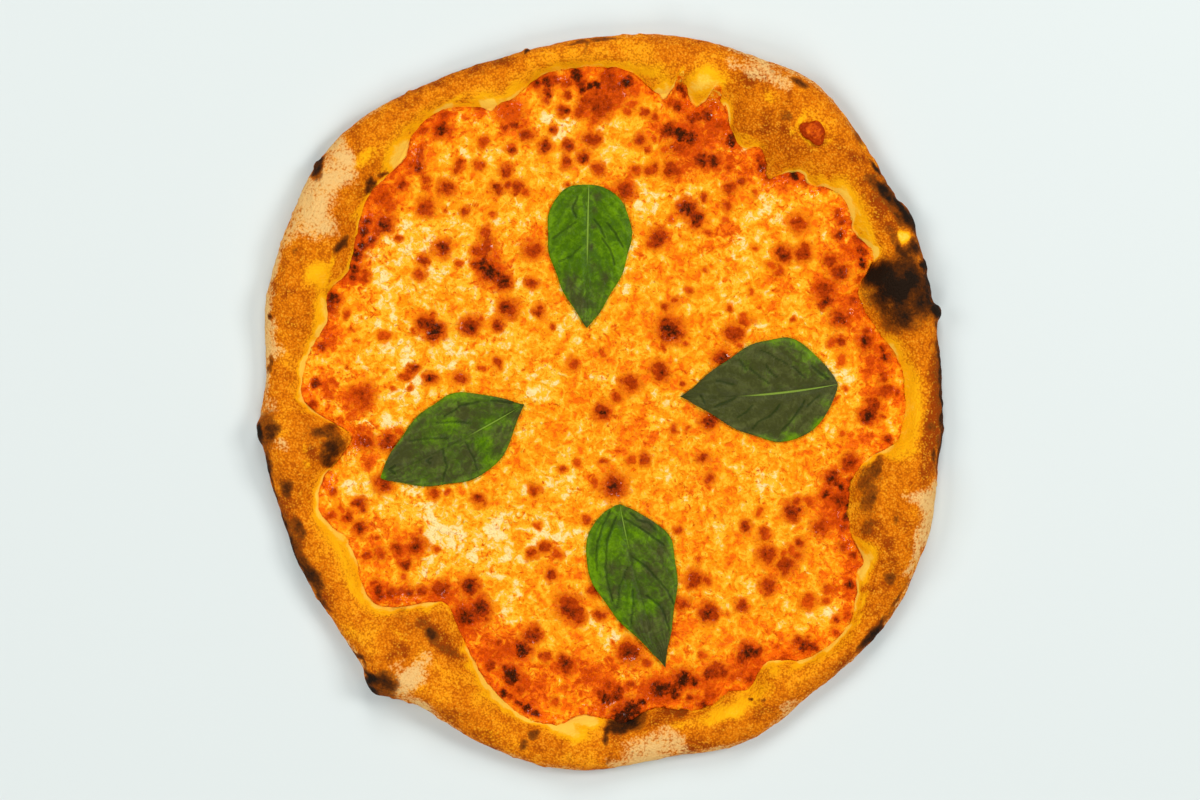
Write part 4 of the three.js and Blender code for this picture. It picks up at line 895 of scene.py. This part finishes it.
def dough_marks(points):
    """How toasted, yellow, floury and scorched each point of the dough is, from 0 to about 1. The scorch also
    holds a crescent of painted shade beside the topping's edge near 340°.
    """
    x, y, z = points[..., 0], points[..., 1], points[..., 2]
    radius, angle = polar(x, y)
    inside, outside = radius - frayed_edge(angle), outer_edge(angle) - radius
    wx = x + 1.3 * layered(x, y, z, 5, 51, 2) + 0.5 * lattice_noise(x, y, z, 1.8, 53)
    wy = y + 1.3 * layered(x, y, z, 5, 57, 2) + 0.5 * lattice_noise(x, y, z, 1.8, 59)
    broad, fine = layered(x, y, z, 26, 61, 3), layered(x, y, z, 6, 67, 3)
    above, beneath, wall = ease(1.5, 5, z), ease(2.5, 0.2, z), ease(3.2, 0.6, outside)
    # The scorch read here includes the crescent of painted shade beside the topping near 340°.
    scorched, yellow = near_round(wx, wy, SCORCHED_AND_SHADED), near_round(wx, wy, YELLOW, 1)
    browned_rim = sum(most * ease(reach, 0, np.abs(turned(angle, place))) for place, reach, most in BROWNED_RIM)

    toast = 0.36 + 0.24 * broad + 0.22 * fine + 0.3 * scorched + near_round(wx, wy, TOASTED, 1) - 0.35 * yellow
    toast += 0.25 * ease(7, 1, outside) * above - 0.15 * ease(9, 2, inside)

    line = np.zeros_like(x)
    for place, span, width, strength in PALE_LINE:
        turn = np.abs(turned(angle, place)) / span
        line = np.maximum(line, strength * ease(1.4, 0.5, turn) * ease(1.3, 0.0, inside / width))
    width = 3.5 + 3.0 * layered(x, y, 0, 18, 71, 2)
    lip = 0.2 * ease(width + 3.0, -1.0, inside) - 0.6 * scorched + 0.75 * np.minimum(yellow, 1.6) + line
    lip += 0.4 * ease(1.4, 0.2, inside) * ease(-0.2, 0.6, layered(x, y, 0, 12, 73, 2))
    lip *= above

    flour = near_round(wx, wy, FLOURED) * (0.9 + 0.3 * fine) + wall * (0.3 + 0.6 * layered(x, y, z, 16, 75, 3))
    toast -= 0.3 * np.clip(flour, 0, 1)
    flour -= 1.2 * browned_rim * wall + scorched

    # char takes the scorch, and with it the crescent of painted shade beside the topping near 340°.
    char = scorched * (0.95 + 0.25 * fine)
    char += browned_rim * ease(5.0, 0.5, outside) * (0.6 + 0.9 * layered(x, y, z, 6, 79, 3))
    char += 1.2 * peaks(x, y, z, 4.5, 83, 0.68) * ease(14, 3, outside)

    char, flour, toast = char * (1 - beneath), mix(flour, 0.3, beneath), mix(toast, 0.35, beneath)
    return dict(toast=toast, lip=lip, flour=np.clip(flour, 0, 1.2), char=np.clip(char, 0, 1.4))


class PIZZA_OT_dough(bpy.types.Operator):
    """Make the baked dough with its uneven rim"""

    bl_idname = "pizza.dough"
    bl_label = "Dough"

    def execute(self, context):
        points = dough_surface()
        rows, columns = points.shape[:2]
        centres = np.array([[0, 0, 0], [0, 0, points[-1, 0, 2]]])
        flat = np.vstack([points.reshape(-1, 3), centres])
        first, last = np.arange(columns), (rows - 1) * columns + np.arange(columns)
        faces = [
            ring_faces(rows, columns),
            fan_faces(first, rows * columns, outwards=False),
            fan_faces(last, rows * columns + 1, outwards=True),
        ]
        make_piece("dough", flat, faces, "crust", dough_material(), **dough_marks(flat))
        return {"FINISHED"}


# ---- Cheese and tomato -----------------------------------------------------------------------------------------


def scattered_blisters():
    """Small blisters strewn between the larger ones: seeded places, more of them towards the rim."""
    count, furthest = 360, 138
    random = np.random.default_rng(5)
    radius, angle = furthest * np.sqrt(random.uniform(0, 1, count)), random.uniform(0, 360, count)
    x, y = level(radius, angle)
    keep = random.uniform(0, 1, count) < 0.25 + 0.6 * (radius / furthest) ** 2
    keep &= radius < frayed_edge(angle) - 2
    reach, dark = random.uniform(0.9, 2.1, count), random.uniform(0.05, 0.45, count)
    return list(zip(x[keep], y[keep], reach[keep], dark[keep]))


def all_blisters():
    """Every blister as (x, y, reach, how dark)."""
    placed = [(x, y, reach, dark) for reach, group in BLISTERS.items() for x, y, dark in group]
    placed += [(*level(radius, angle), reach, dark) for angle, radius, reach, dark in EDGE_BLISTERS]
    return placed + scattered_blisters()


def blister_shapes(x, y):
    """For points of the topping: the blister field, which is 1 in the middle of a blister, 0.5 at its edge and 0 at
    twice its reach; how dark that blister is; and how high its skin stands. Distances are bent by noise of three
    sizes so that no blister is round."""
    bent_x, bent_y = (
        place + (1.5 * layered(x, y, 0, 4.2, seed, 2) + 0.6 * lattice_noise(x, y, 0, 1.6, seed + 3))
        for place, seed in ((x, 101), (y, 107))
    )
    full_height_from = 4.5  # the reach of a blister that stands as high as any
    field, darkness, rise = (np.zeros_like(x) for _ in range(3))
    for bx, by, reach, dark in all_blisters():
        close = np.flatnonzero(np.maximum(np.abs(x - bx), np.abs(y - by)) < 3 * reach + 2)
        distance = np.hypot(bent_x[close] - bx, bent_y[close] - by) / reach
        value = 1 - 0.5 * distance
        better = close[value > field[close]]
        darkness[better] = dark
        field[close] = np.maximum(field[close], value)
        dome = ease(1.2, 0.5, distance) - 0.4 * ease(0.5, 0.1, distance) * dark
        rise[close] = np.maximum(rise[close], dome * min(1, reach / full_height_from))
    return field, darkness, rise


def topping_height(x, y, rise=None):
    """Height of the topping at places (x, y): it thins towards its edge over 9 mm, and away from the edge it has
    lumps of three sizes and the blisters. Past the CAD's edge it climbs with the rim as a thin film."""
    s = sizes()
    radius, angle = polar(x, y)
    past = radius - topping_edge(angle)
    inside = ease(0, 9, frayed_edge(angle) - radius)
    rise = blister_shapes(x.ravel(), y.ravel())[2].reshape(x.shape) if rise is None else rise
    lumps = 0.5 * layered(x, y, 0, 30, 111, 2) + 0.7 * layered(x, y, 0, 9, 113, 3)
    lumps += 0.3 * layered(x, y, 0, 2.6, 127, 2)
    thickness = mix(s.topping_edge, s.topping_middle, inside)
    film = 0.9 * np.maximum(0, past - 0.2) + 0.7 * np.maximum(0, past - 2)
    relief = s.cheese_lumps * lumps + s.blister_height * 0.8 * rise
    return TOPPING_FLOOR + thickness + film + (0.4 + 0.6 * inside) * relief


def square_to_disc(count):
    """A square grid bent into a round one with cells of equal area: each square ring becomes a circle, whose angle
    runs evenly along the square's sides. Returns radius from 0 to 1 and angle."""
    a, b = np.meshgrid(np.linspace(-1, 1, count), np.linspace(-1, 1, count), indexing="ij")
    radius = np.maximum(np.abs(a), np.abs(b))
    wide = np.abs(a) >= np.abs(b)
    with np.errstate(divide="ignore", invalid="ignore"):
        angle = np.where(wide, 45 * b / a + np.where(a < 0, 180, 0), 90 - 45 * a / b + np.where(b < 0, 180, 0))
    return radius, np.nan_to_num(angle) % 360


def topping_marks(x, y, shapes):
    """How creamy, tomato-red, blistered and dark each point of the topping is."""
    field, darkness, _ = shapes
    radius, angle = polar(x, y)
    inside = frayed_edge(angle) - radius
    wx, wy = (place + 3 * layered(x, y, 0, 9, seed, 3) for place, seed in ((x, 131), (y, 137)))
    mottle = layered(x, y, 0, 7, 139, 4)
    red = 0.9 * near(wx, wy, TOMATO) + 0.25 * ease(7, 1, inside) + 0.3 * ease(26, 6, inside) + 0.5 * mottle - 0.12
    cream = 0.13 + 0.75 * near(wx, wy, CREAM) + 0.5 * layered(x, y, 0, 8.5, 151, 4) - 0.0006 * (x - y)
    cream += 0.14 * layered(x, y, 0, 24, 149, 2) - 0.75 * np.clip(red, 0, 1)
    return dict(cream=cream, red=red, blister=field, dark=darkness)


def topping_material():
    """Melted cheese over tomato: flecks of cream and yellow in orange, redder where the cheese is thin, with browned
    blisters in red halos, and shiny with oil."""
    c = colours()
    material, g, shader = new_material("melted cheese and tomato")
    mask, height, speckle = add_crumb(g, 900.0, 340.0)
    big, middle, other = g.swing(150.0, 3.0, 0.6, 0.5), g.swing(300.0, 3.0, 0.6, 0.9), g.swing(260.0, 4.0, 0.65, 1.2)
    dark = g.attribute("dark")
    curd = g.plus(g.attribute("cream"), (big, 2.7), (middle, 3.0), (speckle, 1.0))
    blister = g.plus(g.attribute("blister"), (middle, 0.45), (speckle, 0.35))
    stain = g.plus(g.attribute("red"), (middle, -2.0), (other, 2.8), (speckle, 0.6))
    fleck = g.plus(other, (speckle, 0.5))
    baked = g.plus(dark, (other, 1.3), (speckle, 0.7), (g.math("SUBTRACT", blister, 0.68), 0.9))
    skin = g.layers(
        g.blend(0.75, c.orange, c.tomato),
        (c.browned, baked, 0.0, 0.8),
        (c.burnt, baked, 0.65, 1.2),
        (c.tomato, mask, 0.7, 1.0, 0.5),
    )
    base = g.layers(
        c.orange,
        (c.melted, curd, -0.75, 0.0),
        (c.curdled, curd, 0.0, 0.5),
        (c.cream, curd, 0.55, 1.15),
        (c.melted, blister, 0.03, 0.33),
        (c.orange, stain, 0.1, 0.6, 0.75),
        (c.tomato, stain, 0.35, 1.1, 0.92),
        (c.browned, stain, 0.85, 1.6, 0.5),
        (c.tomato, fleck, 0.12, 0.24, 0.6),
        (c.tomato, blister, 0.0, 0.5, g.plus(0.4, (dark, 0.5))),
        (skin, blister, 0.42, 0.62),
    )
    oily = g.ease(0.4, 0.6, g.noise(120.0, 3.0, 0.6))
    drops = g.times(g.ease(0.42, 0.6, g.noise(60.0, 3.0, 0.6)), g.ease(0.54, 0.62, g.noise(900.0, 2.0, 0.6)))
    coat = g.times(drops, g.plus(0.8, (g.ease(0.2, 0.8, stain), -0.6)))
    ripple = g.plus(g.times(middle, 1.6), (height, 0.5))
    g.fill(shader, {"Base Color": base, "Roughness": g.plus(0.42, (oily, -0.22)), "Specular IOR Level": 0.03})
    g.fill(shader, {"Coat Weight": coat, "Coat Roughness": 0.08, "Normal": g.bump(ripple, 0.9, 0.0009)})
    return material


class PIZZA_OT_topping(bpy.types.Operator):
    """Make the layer of melted cheese and tomato with its browned blisters"""

    bl_idname = "pizza.topping"
    bl_label = "Cheese and tomato"

    def execute(self, context):
        share, angle = square_to_disc(TOPPING_GRID)
        x, y = (place.ravel() for place in level(share * frayed_edge(angle), angle))
        shapes = blister_shapes(x, y)
        top = np.stack([x, y, topping_height(x, y, shapes[2])], -1)
        marks = topping_marks(x, y, shapes)

        upper, border = grid_faces(TOPPING_GRID, TOPPING_GRID)
        shrunk, bottom = 0.998, TOPPING_FLOOR - 0.2
        skirt = top[border] * [shrunk, shrunk, 0] + [0, 0, bottom]
        lower = len(top) + np.arange(len(border))
        faces = [upper, band_faces(lower, border), fan_faces(lower, len(top) + len(border), outwards=False)]
        points = np.vstack([top, skirt, [[0, 0, bottom]]])
        spread = {key: np.concatenate([v, v[border], [0]]) for key, v in marks.items()}
        make_piece("cheese_and_tomato_layer", points, faces, "cheese_and_tomato", topping_material(), **spread)
        return {"FINISHED"}


# ---- Basil -----------------------------------------------------------------------------------------------------


def basil_material(name):
    """A basil leaf: green with lighter patches, partly painted highlight on the swellings between its side veins,
    darkened where it wilted, with painted shade in its creases and beside its midrib, a paler rib and a waxy shine."""
    c = colours()
    nearly_black = (0.004, 0.005, 0.002)
    material, g, shader = new_material(name)
    mask, height, speckle = add_crumb(g, 1300.0, 420.0)
    patches = g.swing(330.0, 4.0, 0.65, 0.8)
    # The light attribute is partly painted highlight on the swellings between the side veins.
    light = g.plus(g.attribute("light"), (speckle, 0.9), (patches, 1.6))
    wilt = g.plus(g.attribute("wilt"), (speckle, 0.6), (patches, -1.2))
    crease = g.plus(g.attribute("shaded_crease"), (speckle, 0.5))
    base = g.layers(
        c.fresh,
        (c.bright, light, 0.1, 1.3),
        (g.layers(c.wilted, (c.withered, light, 0.2, 1.2)), wilt, 0.05, 1.05, 0.95),
        # Painted shade in the creases and beside the midrib: the fresh green darkened towards black.
        (g.blend(0.8, c.fresh, nearly_black), crease, 0.15, 1.0, 0.65),
        (c.rib, g.attribute("rib"), 0.15, 0.8, 0.8),
    )
    g.fill(shader, {"Base Color": base, "Roughness": g.plus(0.3, (mask, 0.2)), "Specular IOR Level": 0.08})
    g.fill(shader, {"Normal": g.bump(height, 0.35, 0.00025)})
    return material


def leaf_frame(leaf, along, across):
    """Places (x, y) on a leaf, for shares along it from stalk to tip and across it from -1, right, to 1, left. Each
    half's width grows as a power of a sine up to its widest place, and falls as a power of a cosine from there. The
    midrib bows as a parabola, and the margin waves a little."""
    stalk, tip = np.array(leaf["stalk"]), np.array(leaf["tip"])
    forward = (tip - stalk) / np.linalg.norm(tip - stalk)
    left = np.array([-forward[1], forward[0]])
    widths = []
    for half, fullness in zip(leaf["halves"], leaf["base"]):
        rising = np.sin(np.pi / 2 * np.clip(along / leaf["widest"], 0, 1)) ** fullness
        falling = np.cos(np.pi / 2 * np.clip((along - leaf["widest"]) / (1 - leaf["widest"]), 0, 1)) ** leaf["end"]
        widths.append(half * rising * falling)
    half = np.where(across >= 0, *widths)
    offset = half * across + leaf["bow"] * 4 * along * (1 - along) * (1 - np.abs(across))
    offset += 0.35 * np.sin(along * 23 + 3 * np.sign(across) + leaf["seed"]) * np.abs(across) ** 6 * (half > 3)
    forwards = np.linalg.norm(tip - stalk) * along
    return (stalk[k] + forward[k] * forwards + left[k] * offset for k in (0, 1))


def leaf_veins(leaf, x, y, along, across):
    """How deep in a crease each place is, which also sets the painted shade of the creases and of thin dark lines
    along the side veins, and how far it swells between its side veins. The veins leave the midrib at equal steps and
    sweep towards the tip, each a curve along = start + sweep * |across|^1.25, bent by noise."""
    seed, away = leaf["seed"], np.abs(across)
    bend = 0.05 * layered(x, y, 0, 9, 150 + seed, 2)
    run = along - leaf["sweep"] * away**1.25 + bend + 0.03 * np.sign(across)
    phase = (run + leaf["sweep"] * 0.55) * leaf["veins"]
    distance = np.abs(phase - np.round(phase)) / leaf["veins"]
    broken = ease(-0.1, 0.6, layered(x, y, 0, 7, 155 + seed, 2))
    # Painted shade: thin dark lines along the side veins, where the leaf also dips a little.
    vein_line_shade = 0.3 * ease(0.02, 0.003, distance) * broken * ease(1.0, 0.8, away) * ease(0.0, 0.1, away)
    wx, wy = (place + 0.5 * layered(x, y, 0, 3, first + seed, 2) for place, first in ((x, 157), (y, 159)))
    return np.maximum(vein_line_shade, near_lines(wx, wy, leaf["creases"], 0.9)), 0.5 - 0.5 * np.cos(2 * np.pi * phase)


def leaf_marks(leaf, x, y, along, across, shaded_crease, swell):
    """How light (partly painted highlight on the swellings between side veins), wilted, deep in painted shade in its
    creases and beside the midrib, and rib-like each point of a leaf is.
    """
    seed, away = leaf["seed"], np.abs(across)
    patches = layered(x, y, 0, 11, 170 + seed, 3)
    streaks = layered(along * 9, across * 20, 0, 4, 180 + seed, 3)
    margin = ease(0.8, 1.0, away) * ease(0.02, 0.12, along)
    wilt = leaf["wilt"] + leaf["wilt_left"] * np.clip(across * 3, -1, 1) + leaf["wilt_tip"] * ease(0.35, 1, along)
    wilt = wilt + 0.3 * patches + 0.13 * streaks + near(x, y, leaf["wilted"]) - near(x, y, leaf["green"])
    wilt = wilt - leaf["margin"] * margin * (0.6 + 0.8 * patches)
    # The swell share is a painted highlight on the swellings between the side veins; the rest is the leaf's own tone.
    light = 0.35 + 0.4 * layered(x, y, 0, 5, 190 + seed, 3) + 0.22 * swell + 0.25 * margin
    light += 0.5 * near(x, y, leaf["green"])
    rib_width = mix(0.026, 0.012, along)
    rib = ease(rib_width * 1.3, rib_width * 0.4, away) * ease(leaf["pale_rib"] + 0.15, leaf["pale_rib"] - 0.2, along)
    # Painted shade in the groove on either side of the pale midrib.
    rib_groove_shade = ease(rib_width * 3, rib_width * 0.8, away) * (1 - rib) * 0.7
    return dict(light=light, wilt=wilt, shaded_crease=np.maximum(shaded_crease, rib_groove_shade), rib=rib)


def make_leaf(name, leaf):
    """A leaf as two like grids, its upper and lower face, joined round the margin. It is draped over the topping,
    creased along the midrib, quilted between its side veins, and arched."""
    s, seed = sizes(), leaf["seed"]
    clear, groove_depth, vein_depth = 2.5, 0.5, 0.45  # clear: how far round each point it stays off the topping
    rows, columns = LEAF_GRID
    steps = 0.5 - 0.5 * np.cos(np.linspace(0, np.pi, rows))
    along, across = np.meshgrid(steps, np.linspace(-1, 1, columns), indexing="ij")
    x, y = leaf_frame(leaf, along, across)
    shifts = [(dx, dy) for dx in (-clear, 0, clear) for dy in (-clear, 0, clear)]
    under = np.max([topping_height(x + dx, y + dy) for dx, dy in shifts], axis=0)
    shaded_crease, swell = leaf_veins(leaf, x, y, along, across)
    away = np.abs(across)
    full = np.sin(np.pi * along) ** 0.5
    arch = 0.9 * np.sin(np.pi * away) * full
    groove = np.exp(-((across / 0.07) ** 2)) * ease(0, 0.08, along) * ease(1, 0.7, along)
    quilt = s.leaf_quilting * swell * np.sin(np.pi * away) ** 0.7 * full
    wrinkle = 0.35 * layered(x, y, 0, 8, 160 + seed, 2) + 0.14 * layered(x, y, 0, 2.6, 165 + seed, 2)
    lower = under + s.leaf_lift + groove_depth + arch + quilt + wrinkle - groove_depth * groove - vein_depth * shaded_crease
    taper = mix(0.35, 1, ease(1, 0.9, away) * ease(0, 0.05, along) * ease(1, 0.95, along))
    upper = lower + s.leaf_thickness * taper

    points = np.vstack([np.stack([x, y, z], -1).reshape(-1, 3) for z in (upper, lower)])
    face, border = grid_faces(rows, columns)
    below = rows * columns
    faces = [face, face[:, ::-1] + below, band_faces(border + below, border)]
    marks = leaf_marks(leaf, x, y, along, across, shaded_crease, swell)
    spread = {key: np.tile(values.ravel(), 2) for key, values in marks.items()}
    close_ends(make_piece(name + "_blade", points, faces, name, basil_material(name.replace("_", " ")), **spread))


def close_ends(piece):
    """Merge the points that coincide at a leaf's two ends, and drop faces left without area."""
    same_place, no_length = 2e-6, 1e-6  # in metres
    shape = bmesh.new()
    shape.from_mesh(piece.data)
    bmesh.ops.remove_doubles(shape, verts=shape.verts, dist=same_place)
    bmesh.ops.dissolve_degenerate(shape, edges=shape.edges, dist=no_length)
    shape.to_mesh(piece.data)
    shape.free()


class PIZZA_OT_basil(bpy.types.Operator):
    """Make the basil leaves and lay them on the topping"""

    bl_idname = "pizza.basil"
    bl_label = "Basil leaves"

    def execute(self, context):
        for name, leaf in LEAVES.items():
            make_leaf(name, leaf)
        return {"FINISHED"}


# ---- Scrap of tomato -------------------------------------------------------------------------------------------


def scrap_material():
    """Tomato baked onto the rim: mottled dark red-brown, with orange where its bubbly skin is thin."""
    c = colours()
    material, g, shader = new_material("baked tomato")
    mask, height, _ = add_crumb(g, 620.0, 300.0)
    dark = g.plus(g.times(g.attribute("rim"), 0.45), (g.math("SUBTRACT", mask, 0.5), -0.7))
    dark = g.plus(g.math("ADD", dark, 0.28), (g.swing(420.0, 3.0, 0.6), 1.6))
    base = g.layers(
        g.blend(0.5, c.melted, c.orange),
        (g.blend(0.45, c.orange, c.browned), dark, -0.3, 0.3),
        (c.browned, dark, 0.15, 0.75),
    )
    g.fill(shader, {"Base Color": base, "Roughness": 0.5, "Specular IOR Level": 0.05})
    g.fill(shader, {"Normal": g.bump(height, 0.8, 0.0006)})
    return material


class PIZZA_OT_scrap(bpy.types.Operator):
    """Make the scrap of tomato that is baked onto the rim"""

    bl_idname = "pizza.scrap"
    bl_label = "Scrap of tomato"

    def execute(self, context):
        rows, columns, first_share = 18, 72, 0.04
        low, high = (np.array(corner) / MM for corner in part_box("tomato_scrap"))
        middle = (low + high) / 2
        bottom, edge, crown = low[2] - 0.6, high[2] - 1.2, high[2] + 0.3
        turns = np.arange(columns) * 2 * np.pi / columns
        share, turn = np.meshgrid(np.linspace(first_share, 1, rows), turns, indexing="ij")
        long_way = turn - np.radians(SCRAP["angle"] + 90)
        oval = 1 / np.hypot(np.cos(long_way) / SCRAP["length"], np.sin(long_way) / SCRAP["width"])
        reach = oval / 2 * (1 + 0.12 * np.sin(3 * long_way) + 0.06 * np.sin(5 * long_way + 1)) * share
        x, y = middle[0] + reach * np.cos(turn), middle[1] + reach * np.sin(turn)
        droop = 0.012 * ((x - middle[0]) ** 2 + (y - middle[1]) ** 2)
        cushion = 1.5 * (1 - share**3) + 0.25 * layered(x, y, 0, 2.5, 211, 2) * (1 - share**4)
        upper = np.stack([x, y, edge + cushion - droop], -1)
        lower = np.stack([x, y, 0 * x + bottom], -1)
        centres = [[*middle[:2], crown], [*middle[:2], bottom]]
        points = np.vstack([upper[::-1].reshape(-1, 3), lower.reshape(-1, 3), centres])
        around, last = np.arange(columns), rows * columns
        faces = [
            ring_faces(rows, columns),
            fan_faces(last - columns + around, 2 * last, outwards=True),
            ring_faces(rows, columns, last),
            fan_faces(last + around, 2 * last + 1, outwards=False),
            band_faces(2 * last - columns + around, around),
        ]
        rim = np.concatenate([ease(0.35, 0.9, share[::-1]).ravel(), np.ones(last), [0, 1]])
        make_piece("scrap_of_tomato", points, faces, "tomato_scrap", scrap_material(), rim=rim)
        return {"FINISHED"}


# ---- Stage -----------------------------------------------------------------------------------------------------

# Each soft light: its place and the length of its sides in metres, and its power in watts.
LIGHTS = {
    "right light": ((1.25, 0.35, 1.3), 0.6, 15.5),
    "left light": ((-1.25, 0.25, 1.3), 0.8, 12.5),
    "back light": ((0.1, 1.3, 1.25), 0.7, 12),
    "front light": ((-0.1, -1.3, 1.3), 0.8, 13),
}
SKY_COLOUR, SKY_STRENGTH = (0.97, 0.985, 1.0, 1), 0.14
FLOOR_HALF = 4.0  # half the floor's side, in metres
LENS, SENSOR = 85, 36  # of the camera, in millimetres
VIEW_WIDTH = 1200 * 0.4365 * MM  # of the floor that the frame takes in
VIEW_MIDDLE = (-1.3 * MM, 1.3 * MM)
VIEW_LIFT = 6 * MM  # height above the floor at which the view is as wide as that


class PIZZA_OT_stage(bpy.types.Operator):
    """Make the pale floor, the soft lights and the camera that looks straight down"""

    bl_idname = "pizza.stage"
    bl_label = "Floor, lights and camera"

    def execute(self, context):
        scene = context.scene
        mesh = bpy.data.meshes.new("floor")
        corners = [(FLOOR_HALF * a, FLOOR_HALF * b, 0) for a, b in ((-1, -1), (1, -1), (1, 1), (-1, 1))]
        mesh.from_pydata(corners, [], [(0, 1, 2, 3)])
        material, graph, shader = new_material("pale floor")
        graph.fill(shader, {"Base Color": colours().floor, "Roughness": 0.6, "Specular IOR Level": 0})
        mesh.materials.append(material)
        floor = bpy.data.objects.new("floor", mesh)
        scene.collection.objects.link(floor)

        for name, (place, side, power) in LIGHTS.items():
            lamp = bpy.data.lights.new(name, "AREA")
            lamp.size, lamp.energy = side, power
            light = bpy.data.objects.new(name, lamp)
            light.location = place
            light.rotation_euler = (-Vector(place)).to_track_quat("-Z", "Y").to_euler()
            scene.collection.objects.link(light)
        world = bpy.data.worlds.new("studio")
        world.use_nodes = True
        world.node_tree.nodes["Background"].inputs["Color"].default_value = SKY_COLOUR
        world.node_tree.nodes["Background"].inputs["Strength"].default_value = SKY_STRENGTH
        scene.world = world
        scene.view_settings.view_transform = "Standard"

        camera = bpy.data.objects.new("camera", bpy.data.cameras.new("camera"))
        camera.data.lens, camera.data.sensor_width = LENS, SENSOR
        camera.location = (*VIEW_MIDDLE, VIEW_WIDTH / SENSOR * LENS + VIEW_LIFT)
        scene.collection.objects.link(camera)
        scene.camera = camera
        return {"FINISHED"}


# ---- Panel and registration ------------------------------------------------------------------------------------

STEPS = (PIZZA_OT_dough, PIZZA_OT_topping, PIZZA_OT_basil, PIZZA_OT_scrap, PIZZA_OT_stage)


class PIZZA_PT_panel(bpy.types.Panel):
    """Lists the steps, the sizes and the colours"""

    bl_label = "Pizza"
    bl_idname = "PIZZA_PT_panel"
    bl_space_type = "VIEW_3D"
    bl_region_type = "UI"
    bl_category = "Pizza"

    def draw(self, context):
        for step in STEPS:
            self.layout.operator(step.bl_idname)
        look = context.scene.pizza
        for group in (look.sizes, look.colours):
            box = self.layout.box()
            for key in type(group).__annotations__:
                box.prop(group, key)


CLASSES = (PizzaSizes, PizzaColours, PizzaLook, *STEPS, PIZZA_PT_panel)


def register():
    for cls in CLASSES:
        bpy.utils.register_class(cls)
    bpy.types.Scene.pizza = bpy.props.PointerProperty(type=PizzaLook)


def unregister():
    del bpy.types.Scene.pizza
    for cls in reversed(CLASSES):
        bpy.utils.unregister_class(cls)


def main():
    register()
    bpy.ops.pizza.dough()
    bpy.ops.pizza.topping()
    bpy.ops.pizza.basil()
    bpy.ops.pizza.scrap()
    bpy.ops.pizza.stage()


if __name__ == "__main__":
    main()
